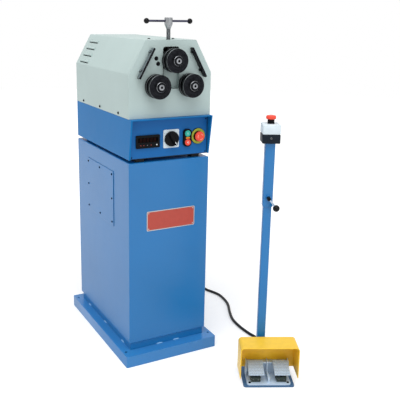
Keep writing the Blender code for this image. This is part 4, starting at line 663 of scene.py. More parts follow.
CABLE_RADIUS = 6.2 * MM
CABLE_DIAMETER = 2 * CABLE_RADIUS
CABLE_LEVEL = CABLE_RADIUS + SEAT
COIL_MIDDLE = Vector((0.335, 0.200, 0))
COIL_OUTER_RADIUS = 75 * MM
COIL_PITCH = 14.2 * MM
COIL_RISE = 13.1 * MM
COIL_TURNS = 2
COIL_POINTS_PER_TURN = 72
LEAD_ROUTE = ((0.236, 0.241, 0.080), (0.262, 0.257, 0.034), (0.290, 0.271, 0.0085))
FLOOR_ROUTE = (
    (0.3850, 0.2680, 0.0185),
    (0.4190, 0.2400, 0.0100),
    (0.4380, 0.2060, 0.0065),
    (0.4437, 0.1719, 0.0065),
    (0.4600, 0.1280, 0.0065),
    (0.4671, 0.0817, 0.0065),
    (0.4526, -0.0040, 0.0065),
    (0.4131, -0.0890, 0.0065),
    (0.3861, -0.1579, 0.0065),
    (0.3770, -0.2318, 0.0065),
    (0.3787, -0.2984, 0.0065),
    (0.3832, -0.3287, 0.0065),
    (0.3905, -0.3900, 0.0065),
    (0.3850, -0.4550, 0.0080),
    (0.3560, -0.5150, 0.0140),
)
ROUTE_SAMPLES = 8
PEDAL_GLAND = Vector(mm(45, 104.3, 19.5))


def smooth_route(route):
    """A smooth curve through the route, on the floor or above it, with straight ends."""
    points = [route[0]]
    for a, b, c, d in zip(route, route[1:], route[2:], route[3:]):
        for n in range(ROUTE_SAMPLES):
            t = n / ROUTE_SAMPLES
            straight = (c - a) * t
            square = (2 * a - 5 * b + 4 * c - d) * t**2
            cube = (3 * b - a - 3 * c + d) * t**3
            point = b + (straight + square + cube) / 2
            point.z = max(point.z, CABLE_LEVEL)
            points.append(point)
    return [*points, route[-2], route[-1]]


def coil_points():
    """Two layers of loops: in along the floor, up in the half turn where it reverses, and out."""
    count = 2 * COIL_TURNS * COIL_POINTS_PER_TURN
    points = []
    for n in range(count + 1):
        turn = 2 * COIL_TURNS * n / count
        to_reverse = turn - COIL_TURNS
        radius = COIL_OUTER_RADIUS - COIL_PITCH * (COIL_TURNS - abs(to_reverse))
        climb = min(1.0, max(0.0, to_reverse * 2 + 1 / 2))
        rise = CABLE_LEVEL + COIL_RISE * climb**2 * (3 - 2 * climb)
        angle = math.pi / 2 - math.tau * turn
        around = Vector((radius * math.cos(angle), radius * math.sin(angle), 0))
        points.append(COIL_MIDDLE + around + Vector((0, 0, rise)))
    return points


def cable_line():
    """The foot cable from the cabinet's gland through its coil to the pedals' gland."""
    coil = coil_points()
    right = Vector((CABLE_DIAMETER, 0, 0))
    low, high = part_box("foot_cable_gland")
    mouth = Vector((high.x + SEAT, (low.y + high.y) / 2, (low.z + high.z) / 2))
    lead = [mouth, mouth + right, *map(Vector, LEAD_ROUTE), coil[0] - 2 * right, coil[0] - right]
    final = math.pi / 2 - math.tau * 2 * COIL_TURNS
    way_out = Vector((math.sin(final), -math.cos(final), 0)) * CABLE_DIAMETER
    far_end = STATION @ PEDAL_GLAND
    far_out = STATION.to_3x3() @ Vector((0, CABLE_DIAMETER, 0))
    run = [coil[-1] + way_out, coil[-1] + 2 * way_out, *map(Vector, FLOOR_ROUTE)]
    run += [far_end + far_out, far_end]
    return [*smooth_route(lead), *coil, *smooth_route(run)]


def coil_tie():
    """Strap that holds the coil together, pulled tight round its four loops."""
    width, thick = mm(14, 1.0)
    rubber = "moulded_rubber_black"
    # Half a turn in, the upper loops lie right above the lower ones
    at = COIL_MIDDLE - Vector((0, COIL_OUTER_RADIUS - COIL_PITCH, 0))
    across = COIL_PITCH + CABLE_DIAMETER + 2 * thick
    low, high = SEAT / 3, CABLE_LEVEL + COIL_RISE + CABLE_RADIUS + thick
    corner = CABLE_RADIUS + thick
    middle_height = Vector((0, 0, (low + high) / 2))
    tie = Piece("coil_tie", Matrix.Translation(at + middle_height) @ TO_RIGHT)
    outer = rounded_rectangle(high - low, across, corner)
    inner = rounded_rectangle(high - low - 2 * thick, across - 2 * thick, corner - thick)
    tie.slab([outer, inner], -width / 2, width / 2, rubber)
    top = (low - high) / 2
    tail = (top - thick, -across / 5, -width / 2), (top + OVERLAP, across / 3, width / 2)
    tie.box(*tail, rubber)
    return tie.done("base", "cable_jacket", angle_deg=30)


# ---------------------------------------------------------------- operators


class BENDER_OT_finishes(bpy.types.Operator):
    """Make the finishes and dress the pieces that keep their solids"""

    bl_idname = "bender.finishes"
    bl_label = "Finishes"

    def execute(self, context):
        make_finishes(context.scene.bender_colours)
        for (finish, edge), nodes in CARRIED_OVER.items():
            for node in nodes.split():
                dress(node, finish, getattr(context.scene.bender_sizes, edge))
        return {"FINISHED"}


class BENDER_OT_cable(bpy.types.Operator):
    """Lay the foot cable from the cabinet through its coil to the pedals"""

    bl_idname = "bender.cable"
    bl_label = "Foot cable"

    def execute(self, context):
        line = cable_line()
        cable = Piece("foot_cable")
        cable.tube(line, CABLE_RADIUS, "cable_jacket_black", 20)
        nodes = "foot_cable_coil", "foot_cable_lead", "foot_cable_run"
        made = cable.done("base", "cable_jacket", *nodes, angle_deg=60)
        tie = coil_tie()
        return {"FINISHED"}


def roll(name, body, steps):
    """Grooved roll: blackened, with lighter rims for wear and painted highlight, a stepped face,
    and a recessed boss whose bright edge is a painted highlight.
    """
    low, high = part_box(name)
    # Rims, groove edges and the recess edge take a lighter steel: wear, and a painted highlight
    black, worn = "blackened_steel_turned", "worn_steel_edge"
    radius, boss_height = (high.x - low.x) / 2, 8 * MM
    width = high.y - low.y - boss_height
    groove_top = width - 13.5 * MM
    groove_bottom = groove_top - 12 * MM
    core, bore = radius - 8 * MM, 15.3 * MM
    chamfer, lip = mm(1.1, 0.7)
    boss, recess = mm(18.5, 13)
    bolt, socket_top = mm(5.3, 36.3)
    step, drop = mm(33.5, 0.9)
    face = width + boss_height
    floor = face - 3 * MM
    rim, boss_edge, web = radius - chamfer, face - 1.5 * lip, width - 0.3 * drop
    groove = (radius - lip, groove_bottom), (core + lip, groove_bottom)
    groove += (core, groove_bottom + lip), (core, groove_top - lip)
    groove += (core + lip, groove_top), (radius - lip, groove_top)
    stepped = (rim, width), (step + drop, width), (step, width - drop)
    stepped += (step - drop, width - drop), (step - 2 * drop, web), (boss + 2 * lip, web)
    stepped += (boss + 0.4 * lip, width + 0.4 * lip), (boss, width + 2 * lip), (boss, boss_edge)
    inside = (recess, face - lip / 2), (recess, floor), (bolt, floor)
    inside += (bolt, socket_top), (bore, socket_top), (bore, 0)
    made = Piece(name + "_turned", at_place(middle(name).x, high.y, middle(name).z, TO_FRONT))
    for finish, *profile in (
        (black, (bore, 0), (rim, 0)),
        (worn, (rim, 0), (radius, chamfer)),
        (black, (radius, chamfer), (radius, groove_bottom - lip)),
        (worn, (radius, groove_bottom - lip), (radius - lip, groove_bottom)),
        (black, *groove),
        (worn, (radius - lip, groove_top), (radius, groove_top + lip)),
        (black, (radius, groove_top + lip), (radius, width - chamfer)),
        (worn, (radius, width - chamfer), (rim, width)),
        (black, *stepped),
        # Bright band on the boss's edge: painted highlight
        ("bolt_steel", (boss, boss_edge), (boss - 1.5 * lip, face)),
        (black, (boss - 1.5 * lip, face), (recess + lip / 2, face)),
        (worn, (recess + lip / 2, face), (recess, face - lip / 2)),
        (black, *inside),
    ):
        made.turned(profile, finish, steps=steps)
    made.done(body, "blackened_steel", name, angle_deg=20)


def roll_shaft(name, body, roll_name, steps):
    """Shaft with its shoulder and retaining ring, and the socket screw that holds the roll."""
    low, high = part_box(name)
    roll_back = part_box(roll_name)[1].y
    spot = middle(roll_name)
    made = Piece(name + "_turned", at_place(spot.x, roll_back, spot.z, TO_FRONT))
    top, end = roll_back - low.y, roll_back - high.y
    head, edge, thread = mm(10.5, 1.6, 5)
    head_bottom, shoulder_edge = top - 7.5 * MM, top - edge
    key, key_lip, key_floor = 5.2 * MM, 0.8 * MM, top - 5 * MM
    key_top = top - key_lip / 2
    shaft, shaft_top = mm(15, 36)
    shoulder, ring, ring_width = mm(22, 20, 7)
    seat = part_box("front_plate" if body != "upper_roll" else "carriage_block")[0].y
    shoulder_back = roll_back - seat + SEAT
    crown = [(key, key_top, 6), (key + key_lip, top), (head - edge, top)]
    crown += [(head - 0.35 * edge, top - 0.3 * edge), (head, shoulder_edge)]
    length = [(thread, head_bottom), (thread, shaft_top), (shaft, shaft_top), (shaft, -SEAT)]
    length += [(shoulder, -SEAT), (shoulder, shoulder_back), (shaft, shoulder_back)]
    length += [(shaft, end + ring_width), (ring, end + ring_width), (ring, end), (0, end)]
    for finish, profile in (
        # The key socket's floor in black: painted shade at the bottom of the socket
        ("printed_ink_black", [(0, key_floor - edge / 2), (key, key_floor, 6)]),
        ("worn_steel_edge", [(key, key_floor, 6), (key, key_top, 6)]),
        ("bolt_steel", crown),
        ("hub_steel", [(head, shoulder_edge), (head, head_bottom), (thread, head_bottom)]),
        ("turned_steel", length),
    ):
        made.turned(profile, finish, steps=steps)
    made.done(body, "turned_steel", name, angle_deg=25)


class BENDER_OT_rolls(bpy.types.Operator):
    """Turn the three grooved rolls and their shafts"""

    bl_idname = "bender.rolls"
    bl_label = "Rolls and shafts"

    def execute(self, context):
        sizes = context.scene.bender_sizes
        for name, shaft, body in (
            ("lower_left_roll", "lower_left_shaft", "lower_left_drive"),
            ("lower_right_roll", "lower_right_shaft", "lower_right_drive"),
            ("top_roll", "top_shaft", "upper_roll"),
        ):
            roll(name, body, sizes.round_steps)
            roll_shaft(shaft, body, name, sizes.round_steps)
        return {"FINISHED"}


def lead_screw(axis, pitch, depth):
    """The screw: a foot with its collar, a cut thread, and a tapered hub that takes the bar."""
    low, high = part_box("lead_screw")
    radius, collar, hub, chamfer = mm(8, 12, 15, 1.5)
    collar_low = low.z + 8.7 * MM + SEAT
    collar_top = collar_low + 5 * MM
    hub_low = high.z - 24.5 * MM
    taper_low = hub_low - 15 * MM
    steps, rings_per_pitch = 48, 10
    screw = Piece("lead_screw_threaded", Matrix.Translation((axis[0], axis[1], 0)))
    foot = [(0, low.z), (radius, low.z), (radius, collar_low), (collar, collar_low)]
    foot += [(collar, collar_top), (radius, collar_top)]
    screw.turned(foot, "screw_steel", steps=steps)
    rings = []
    start, end = collar_top, taper_low
    count = round((end - start) / (pitch / rings_per_pitch))
    for n in range(count + 1):
        z = start + (end - start) * n / count
        ring = []
        for m in range(steps):
            angle = math.tau * m / steps
            phase = ((z - start) / pitch - m / steps) % 1
            flank = min(1, max(0, 3.2 * abs(phase - 1 / 2) - 0.3))
            near_end = min(1, (z - start) / pitch, (end - z) / pitch)
            reach = radius - depth * (1 - flank) * near_end
            ring.append((reach * math.cos(angle), reach * math.sin(angle), z))
        rings.append(ring)
    screw.rings(rings, "screw_steel")
    head = [(radius, taper_low), (hub - chamfer / 2, hub_low - chamfer / 2)]
    head += [(hub, hub_low + chamfer), (hub, high.z - chamfer), (hub - chamfer, high.z)]
    screw.turned([*head, (0, high.z)], "hub_steel", steps=64)
    screw.done("screw", "bright_steel", "lead_screw", angle_deg=30)


def handle_bar(axis):
    """The T-bar: a blued rod with broken ends. Its radius is returned."""
    low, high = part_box("handle_bar")
    bar_radius, half, end = (high.z - low.z) / 2, (high.x - low.x) / 2, 0.6 * MM
    bar = Piece("handle_bar_ground", at_place(0, axis[1], middle("handle_bar").z, TO_RIGHT))
    profile = [(0, half), (bar_radius - end, half), (bar_radius, half - end)]
    profile += [(radius, -height) for radius, height in reversed(profile)]
    bar.turned(profile, "blued_bar_steel", steps=32)
    bar.done("screw", "bright_steel", "handle_bar", angle_deg=30)
    return bar_radius


def handle_ball(node, side, bar_radius):
    """A black ball, bored to take the bar's end."""
    low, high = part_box(node)
    radius, out = (high.z - low.z) / 2, 88 * MM
    spot = middle(node)
    place = at_place(side * out, spot.y, spot.z, TO_LEFT if side < 0 else TO_RIGHT)
    ball = Piece(node + "_ball", place)
    flat = math.asin((bar_radius + 1.6 * MM) / radius)
    turns = [(math.pi - flat) * n / 20 for n in range(21)]
    outside = [(radius * math.sin(a), radius * math.cos(a)) for a in turns]
    outside[0] = (0, radius)
    bore, floor = bar_radius + SEAT, 8 * MM - radius
    outside += [(bore, outside[-1][1]), (bore, floor), (0, floor)]
    ball.turned(outside, "moulded_phenolic_black", steps=40)
    ball.done("screw", "black_plastic", node, angle_deg=40)


class BENDER_OT_screw(bpy.types.Operator):
    """Cut the screw's thread, and make its T-bar and the two balls"""

    bl_idname = "bender.screw"
    bl_label = "Screw and T-bar"

    def execute(self, context):
        sizes = context.scene.bender_sizes
        axis = joint("screw_turn")["pos_m"]
        lead_screw(axis, sizes.thread_pitch, sizes.thread_depth)
        bar_radius = handle_bar(axis)
        for side, node in ((-1, "left_knob"), (1, "right_knob")):
            handle_ball(node, side, bar_radius)
        return {"FINISHED"}


def slot_edging():
    """Black edging round the slot in the front plate: painted shadow of the slot's edge."""
    plate_low, plate_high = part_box("front_plate")
    slot_width, corner, lap, thick = mm(63, 9, 2.0, 0.5)
    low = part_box("carriage_block")[0].z - 70.6 * MM
    high = plate_high.z - 25.5 * MM
    height = high - low
    edging = Piece("slot_edging", at_place(0, plate_low.y, (low + high) / 2, TO_FRONT))
    inner = rounded_box(slot_width, height, (0, 0, corner, corner))
    radii = (lap, lap, corner + lap, corner + lap)
    outer = rounded_box(slot_width + 2 * lap, height + 2 * lap, radii)
    # Painted shadow: a thin black strip where the slot's edge casts its shade
    edging.slab([outer, inner], -OVERLAP, thick, "moulded_rubber_black")
    edging.done("base", "pad_rubber")


def index_plugs():
    """Black plugs in the plate's two index holes."""
    low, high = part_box("front_plate")
    first_x, step_x = mm(-60, 7.3)
    first_drop, step_drop = mm(65.5, 19)
    radius, edge, dish = mm(7.8, 0.6, 2.6)
    profile = [(radius, -OVERLAP), (radius, 0.4 * MM), (radius - edge, 0.9 * MM)]
    profile += [(radius - 2 * MM, 1.1 * MM), (radius - dish, 0.7 * MM), (0, 0.7 * MM)]
    plugs = Piece("index_plugs", at_place(0, low.y, 0, TO_FRONT))
    for n in range(2):
        x = first_x + n * step_x
        z = high.z - first_drop - n * step_drop
        plugs.turned(profile, "moulded_abs_black", at_place(x, z, 0), 32)
    plugs.done("base", "black_plastic")


def wear_and_highlight_guide_bar(node, side):
    """Bright outer face: a painted highlight where the face catches the light, and wear where the
    stock slides along the bar.
    """
    made = frame["nodes"][node]
    low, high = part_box(node)
    outward = Vector((side * (high.z - low.z), 0, high.x - low.x)).normalized()
    # Painted highlight of the lit outer face, and wear
    made.data.materials.append(bpy.data.materials["worn_steel_face"])
    for face in made.data.polygons:
        if face.normal.dot(outward) > 0.95:
            face.material_index = 1


def head_screws(radius):
    """The cover's small screws: on top, along both sides and at the back."""
    low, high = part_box("head_cover")
    top_x, top_y, back_x = mm(50, -191, 140)
    side_z, side_ys, back_zs = 978 * MM, (200, 11, -179), (990, 1110)
    spots = []
    for side, turn, edge_x in ((-1, TO_LEFT, low.x), (1, TO_RIGHT, high.x)):
        spots.append(at_place(side * top_x, top_y, high.z))
        spots += [at_place(edge_x, y * MM, side_z, turn) for y in side_ys]
        spots += [at_place(side * back_x, high.y, z * MM, TO_BACK) for z in back_zs]
    screw_set("head_screws", radius, "blackened_steel_milled", spots)


class BENDER_OT_head(bpy.types.Operator):
    """Edge the slot with a painted shadow, plug the index holes, give the guide bars wear and a
    painted highlight, and screw the cover down
    """

    bl_idname = "bender.head"
    bl_label = "Head"

    def execute(self, context):
        slot_edging()
        index_plugs()
        wear_and_highlight_guide_bar("left_guide_bar", -1)
        wear_and_highlight_guide_bar("right_guide_bar", 1)
        head_screws(context.scene.bender_sizes.head_screw_head)
        return {"FINISHED"}


def display_digit(piece, x, y, height, finish):
    """One seven-segment digit, unlit, leaning to the right."""
    half, bar, thick, lean = height * 0.5 / 2, height * 0.12 / 2, 0.15 * MM, 0.1
    for row in (-1, 0, 1):
        middle_y = y + row * height / 2
        low = (x - half + bar, middle_y - bar, 0)
        high = (x + half - bar, middle_y + bar, thick)
        piece.box(low, high, finish, Matrix.Translation((middle_y * lean, 0, 0)))
    corners = (-1, -1), (1, -1), (1, 1), (-1, 1)
    for side in (-1, 1):
        for row in (-1, 1):
            middle_y = y + row * height / 4
            heights = [(a, middle_y + b * height / 5) for a, b in corners]
            outline = [(x + side * half + a * bar + high * lean, high) for a, high in heights]
            piece.slab([outline], 0, thick, finish)


def meter_keys(marks, height):
    """The row of keys under the meter's window, each with its dot."""
    red, white = "printed_ink_red", "printed_ink_white"
    key, key_edge, key_top, row_y = mm(3.6, 3.0, 0.7, -13)
    dot_top = key_top + 0.05 * MM
    cap = [(key, -OVERLAP), (key, 0.3 * MM), (key_edge, key_top)]
    for x, finish in ((-30, red), (-18, red), (-3, "printed_ink_grey"), (12, red), (35, white)):
        at = at_place(x * MM, row_y, height)
        dot = 2.6 * MM if finish == white else 1.7 * MM
        marks.turned([*cap, (dot, dot_top)], "moulded_abs_black", at, 24)
        marks.turned([(dot, dot_top), (0, dot_top + 0.05 * MM)], finish, at, 24)


def panel_meter(edge):
    """Panel meter: a frame with a smoked window over unlit digits, a row of keys, a case behind."""
    low, high, place = front_of("display_housing")
    black = "moulded_abs_black"
    proud, corner, window_y, window_corner = mm(6, 3, 6, 1.2)
    case_size, window = mm(90, 43), mm(82, 18)
    window_depth, lens_thick, lens_lap = mm(1.5, 1.5, 1)
    digit_pitch, digit_height = mm(14, 12.5)
    outer = rounded_rectangle(high.x - low.x, high.z - low.z, corner)
    opening = rounded_rectangle(*window, window_corner, (0, window_y))
    bezel = Piece("meter_frame", place)
    bezel.slab([outer, opening], -proud, 0, black)
    case = rounded_rectangle(*case_size, corner / 2)
    bezel.slab([case], low.y - high.y, -proud + OVERLAP, black)
    bezel.done("base", "black_plastic", "display_housing", edge=edge)

    inside = Piece("meter_window", place)
    lens_size = [side + lens_lap for side in window]
    lens = rounded_rectangle(*lens_size, window_corner, (0, window_y))
    lens_back = -window_depth - lens_thick
    inside.slab([lens], lens_back, -window_depth, "moulded_acrylic_smoked")
    inside.done("base", "black_plastic")

    marks = Piece("meter_digits_and_keys", place @ Matrix.Translation((0, 0, -window_depth)))
    for n in range(5):
        x = (n - 2) * digit_pitch - MM
        display_digit(marks, x, window_y, digit_height, "unlit_segments")
    meter_keys(marks, window_depth)
    marks.done("base", "black_plastic")


def fluted(radius, depth, height, flutes=30, steps_each=6):
    """A ring with finger flutes."""
    count = flutes * steps_each
    ring = []
    for n in range(count):
        reach = radius - depth * (0.5 - 0.5 * math.cos(math.tau * n / steps_each))
        angle = math.tau * n / count
        ring.append((reach * math.cos(angle), reach * math.sin(angle), height))
    return ring


def lifted(outline, height, across=1.0, along=1.0):
    return [(x * across, y * along, height) for x, y in outline]


def rotary_knob():
    """Switch knob: a fluted skirt with a tapered grip across it and a white line at its end."""
    low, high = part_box("switch_knob")
    spot = middle("switch_knob")
    skirt, grip_top = mm(10, 23)
    radius, chamfer, flute = (high.x - low.x) / 2, 2 * MM, 0.8 * MM
    shaft, shaft_end = mm(6, -18)
    black = "moulded_abs_black"
    knob = Piece("rotary_knob", at_place(spot.x, low.y + grip_top, spot.z, TO_FRONT))
    sections = (
        (shaft, 0, shaft_end),
        (shaft, 0, 0),
        (radius - flute, flute, 0),
        (radius, flute, flute),
        (radius, flute, skirt - chamfer),
        (radius - chamfer, 0, skirt - flute / 2),
        (radius - 2 * chamfer, 0, skirt),
    )
    rings = [fluted(*section) for section in sections]
    knob.rings([[(0, 0, shaft_end)], *rings, [(0, 0, skirt)]], black)
    lean = Matrix.Rotation(math.radians(30), 4, "Z")
    plan = rounded_rectangle(14 * MM, 2 * (radius - chamfer), 6.4 * MM)
    sections = (
        (skirt - OVERLAP, 1.0, 1.0),
        (skirt + 3 * MM, 0.84, 1.0),
        (grip_top - 3 * MM, 0.78, 0.98),
        (grip_top - 1.0 * MM, 0.72, 0.96),
        (grip_top - 0.3 * MM, 0.62, 0.94),
        (grip_top, 0.46, 0.90),
    )
    rings = [lifted(plan, *section) for section in sections]
    knob.rings([*rings, [(0, 0, grip_top)]], black, lean)
    line = rounded_rectangle(*mm(2.2, 13, 1.0), mm(0, -17))
    knob.slab([line], grip_top - OVERLAP, grip_top + 0.1 * MM, "printed_ink_white", lean)
    knob.done("selector", "black_plastic", "switch_knob", angle_deg=32)


def switch_marks():
    """Generic off and on marks on the switch plate, where the knob's line points."""
    marks = Piece("switch_marks", front_of("switch_plate")[2])
    thick, reach, off = 0.12 * MM, 33.2 * MM, math.radians(-166)
    centre = (reach * 0.9 * math.cos(off), reach * math.sin(off))
    ring = [circle(radius, centre, 24) for radius in mm(2.3, 1.3)]
    bar = rounded_rectangle(*mm(1.2, 4.6, 0.5), mm(-29.5, 22))
    marks.slab(ring, -OVERLAP, thick, "printed_ink_black")
    marks.slab([bar], -OVERLAP, thick, "printed_ink_grey")
    marks.done("base", "black_plastic")


def start_stop_frame(edge):
    """Black frame round the two buttons, with an amber lamp between them."""
    low, high, place = front_of("button_bezel")
    width, height = high.x - low.x, high.z - low.z
    hole, hole_y = mm(12.4, 17)
    outer = rounded_rectangle(width, height, width * 0.42, steps=10)
    holes = [circle(hole, (0, side * hole_y), 40) for side in (-1, 1)]
    ring = Piece("start_stop_frame", place)
    ring.slab([outer, *holes], low.y - high.y, 0, "moulded_abs_black")
    ring.done("base", "black_plastic", "button_bezel", edge=edge)
    lamp = Piece("start_stop_lamp", place)
    lens = rounded_rectangle(*mm(17, 6.4, 2.6))
    sections = (-OVERLAP,), (0.6 * MM,), (1.1 * MM, 0.94, 0.82)
    rings = [lifted(lens, *section) for section in sections]
    lamp.rings([*rings, [(0, 0, 1.3 * MM)]], "moulded_acrylic_amber")
    lamp.done("base", "yellow_plastic", angle_deg=60)


def push_button(node, body, finish, slot, mark):
    """Round button with a dished face and a white mark."""
    low, high, place = front_of(node)
    button = Piece(node + "_cap", place)
    radius, back = (high.x - low.x) / 2, low.y - high.y
    depth, stem, dish = mm(5.5, 5, 0.6)
    profile = [(0, -dish), (radius * 0.55, -dish * 0.8), (radius * 0.84, -dish * 0.1)]
    profile += [(radius * 0.90, 0), (radius * 0.96, -0.2 * MM), (radius, -1.0 * MM)]
    profile += [(radius, -depth), (stem, -depth), (stem, back), (0, back)]
    button.turned(profile, finish, steps=48)
    button.slab(mark, -dish - OVERLAP, -dish * 0.5, "printed_ink_white")
    button.done(body, slot, node, angle_deg=40)


def stop_stem(name, place, stand, stem, socket_depth):
    """The emergency stop's black stem, with the grooved skirt that stands round it."""
    black, steps = "moulded_abs_black", 48
    skirt, sink, groove = mm(12.5, 6, 0.7)
    shoulder, top, end = stand - SEAT, stand + socket_depth - SEAT, -sink - 12 * MM
    post = Piece(name + "_stop_push_stem", place)
    sleeve = [(skirt, -sink), (skirt, shoulder - 4.5 * MM), (skirt - groove, shoulder - 4 * MM)]
    sleeve += [(skirt - groove, shoulder - 3 * MM), (skirt, shoulder - 2.5 * MM)]
    post.turned([*sleeve, (skirt, shoulder), (stem, shoulder)], black, steps=steps)
    post.turned([(stem, shoulder), (stem, top), (0, top)], black, steps=steps)
    post.turned([(skirt, -sink), (stem, -sink), (stem, end), (0, end)], black, steps=steps)
    post.done(name + "_emergency_stem", "black_plastic", name + "_stop_stem", angle_deg=40)


def mushroom_stop(name, place, radius=None):
    """Emergency stop: a stem with its skirt, and a fluted mushroom head with raised arrows."""
    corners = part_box(name + "_stop_cap")
    out = place.to_3x3() @ Vector((0, 0, 1))
    stand, far = sorted(abs((corner - place.translation).dot(out)) for corner in corners)
    radius = radius or (corners[1].x - corners[0].x) / 2
    stem, socket_depth = mm(8, 6)
    stop_stem(name, place, stand, stem, socket_depth)
    head = Piece(name + "_stop_mushroom", place)
    edge, crown, neck, flute, count = 5 * MM, 0.8 * MM, 2 * MM, 0.5 * MM, 24
    rim_top, rim_low = far - crown, far - crown - edge
    socket, socket_top = stem + 0.4 * MM, stand + socket_depth
    sections = [(socket, 0, socket_top), (socket, 0, stand), (radius - neck, flute, stand)]
    sections += [(radius, flute, stand + neck), (radius, flute, rim_low)]
    for turn in (25, 50, 70, 90):
        a = math.radians(turn)
        reach = radius - edge + edge * math.cos(a)
        sections.append((reach, flute * math.cos(a) ** 2, rim_low + edge * math.sin(a)))
    sections.append((radius * 0.4, 0, far - crown / 4))
    rings = [fluted(*section, count) for section in sections]
    head.rings([[(0, 0, socket_top)], *rings, [(0, 0, far)]], "moulded_nylon_red")
    outer, inner, sweep_deg, nose_deg = radius * 0.62, radius * 0.5, 50, 72
    for first in (20, 140, 260):
        sweep = arc((0, 0), outer, first, first + sweep_deg, 10)
        tip, reach = math.radians(first + nose_deg), (outer + inner) / 2
        nose = (reach * math.cos(tip), reach * math.sin(tip))
        back = arc((0, 0), inner, first + sweep_deg, first, 10)
        arrow = [*sweep, nose, *back]
        head.slab([arrow], rim_top - crown / 2, far - crown / 5, "printed_ink_pale")
    head.done(name + "_emergency_cap", "red_plastic", name + "_stop_cap", angle_deg=40)


def stop_collar():
    """Yellow ring behind the panel's emergency stop, with a black outer edge and a black inner
    flange: painted shadow round the ring and under the cap.
    """
    low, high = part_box("panel_stop_collar")
    spot = middle("panel_stop_collar")
    black = "moulded_abs_black"
    collar = Piece("stop_collar_ring", at_place(spot.x, high.y, spot.z, TO_FRONT))
    radius, thick = (high.x - low.x) / 2, high.y - low.y
    bore, inner, edge = mm(13, 20.5, 1.5)
    flange_top = thick - 0.8 * MM
    rim = [(bore, 0), (radius, 0), (radius, thick - edge)]
    rim += [(radius - 0.4 * edge, thick - 0.3 * edge), (radius - edge, thick)]
    # Black outer edge: painted shadow round the ring
    collar.turned(rim, black)
    collar.turned([(radius - edge, thick), (inner, thick)], "moulded_nylon_collar")
    # Black inner flange: painted shadow under the red cap
    collar.turned([(inner, thick), (inner, flange_top), (bore, flange_top), (bore, 0)], black)
    collar.done("base", "yellow_plastic", "panel_stop_collar", angle_deg=30)


def console_screws(radius):
    """The panel's four corner screws."""
    x, heights = 155 * MM, (951, 823)
    spots = [at_place(side * x, z * MM, 0) for side in (-1, 1) for z in heights]
    place = at_place(0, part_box("control_panel")[0].y, 0, TO_FRONT)
    screw_set("panel_screws", radius, "black_zinc_steel", spots, place)


def panel_gasket():
    """Black rubber-finished strip round the panel: painted shadow of the gap between the panel and
    its housing.
    """
    low, high, place = front_of("control_panel")
    strip, proud, corner = mm(1.8, 0.5, 1)
    shadow_strip = Piece("panel_gasket", place)
    width, height = high.x - low.x, high.z - low.z
    outer = rounded_rectangle(width, height, corner)
    inner = rounded_rectangle(width - 2 * strip, height - 2 * strip, 2 * corner)
    # Painted shadow: the dark gap round the panel, drawn as a black strip
    shadow_strip.slab([outer, inner], -OVERLAP, proud, "moulded_rubber_black")
    shadow_strip.done("base", "pad_rubber", angle_deg=30)


class BENDER_OT_console(bpy.types.Operator):
    """Fit the meter, the rotary switch, the buttons and the emergency stop to the panel"""

    bl_idname = "bender.console"
    bl_label = "Console"

    def execute(self, context):
        sizes = context.scene.bender_sizes
        panel_meter(sizes.moulded_edge)
        rotary_knob()
        switch_marks()
        start_stop_frame(sizes.moulded_edge)
        on_mark = [rounded_rectangle(*mm(1.6, 8, 0.7))]
        off_mark = [circle(radius) for radius in mm(3.6, 2.3)]
        push_button("start_button", "start", "moulded_nylon_green", "green_plastic", on_mark)
        push_button("stop_button", "stop", "moulded_nylon_red", "red_plastic", off_mark)
        stop_collar()
        spot = middle("panel_stop_cap")
        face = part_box("panel_stop_collar")[1].y
        mushroom_stop("panel", at_place(spot.x, face, spot.z, TO_FRONT))
        panel_gasket()
        console_screws(sizes.panel_screw_head)
        return {"FINISHED"}


def blank_badge(width, height):
    """Blank enamelled plate on four rivets, with no writing."""
    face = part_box("cabinet_shell")[0].y
    centre_x, centre_z, rivet_inset = mm(6.2, 571, 8)
    thickness, sunk, border, corner = mm(1.2, 0.3, 3, 5)
    steel = "zinc_plated_steel"
    badge = Piece("blank_badge", at_place(centre_x, face, centre_z, TO_FRONT))
    outline = rounded_rectangle(width, height, corner)
    inner = rounded_rectangle(width - 2 * border, height - 2 * border, corner - border / 2)
    badge.slab([outline, inner], -OVERLAP, thickness, steel)
    badge.slab([inner], -OVERLAP, thickness - sunk, "enamelled_badge")
    rivet = [mm(2.4, 0), mm(2.2, 0.7), mm(1.4, 1.2), mm(0, 1.4)]
    for side_x in (-1, 1):
        for side_y in (-1, 1):
            x, y = side_x * (width / 2 - rivet_inset), side_y * (height / 2 - rivet_inset)
            badge.turned(rivet, steel, at_place(x, y, thickness - 0.4 * MM), 20)
    badge.done("base", "bright_steel", angle_deg=30)


def weld_bead(piece, start, end, width):
    """A stitch of weld: a low rippled bead along a line."""
    start, end = Vector(start), Vector(end)
    count, ripple_steps, blunt = 28, 3.5, 0.04
    points, radii = [], []
    for n in range(count + 1):
        share = n / count
        points.append(start.lerp(end, share))
        swell = math.sin(math.pi * min(1, max(blunt, share * 0.92 + blunt))) ** 0.4
        ripple = 1 + 0.12 * math.sin(math.tau * n / ripple_steps)
        radii.append(width / 2 * swell * ripple)
    # A lighter blue than the cabinet: painted highlight
    piece.tube(points, radii, "powder_coat_weld", 14)


def weld_beads(width):
    """Stitch welds where the plinth meets the tray."""
    shell_low, shell_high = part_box("cabinet_shell")
    tray_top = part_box("base_tray")[1].z
    inset, half = 7 * MM, 26 * MM / 2
    beads = Piece("tray_welds")
    for x in mm(-36, 40):
        for y in (shell_low.y + inset, shell_high.y - inset):
            weld_bead(beads, (x - half, y, tray_top), (x + half, y, tray_top), width)
    for y in mm(-190, 0, 190):
        for x in (shell_low.x + inset, shell_high.x - inset):
            weld_bead(beads, (x, y - half, tray_top), (x, y + half, tray_top), width)
    beads.done("base", "blue_powder_coat", angle_deg=60)


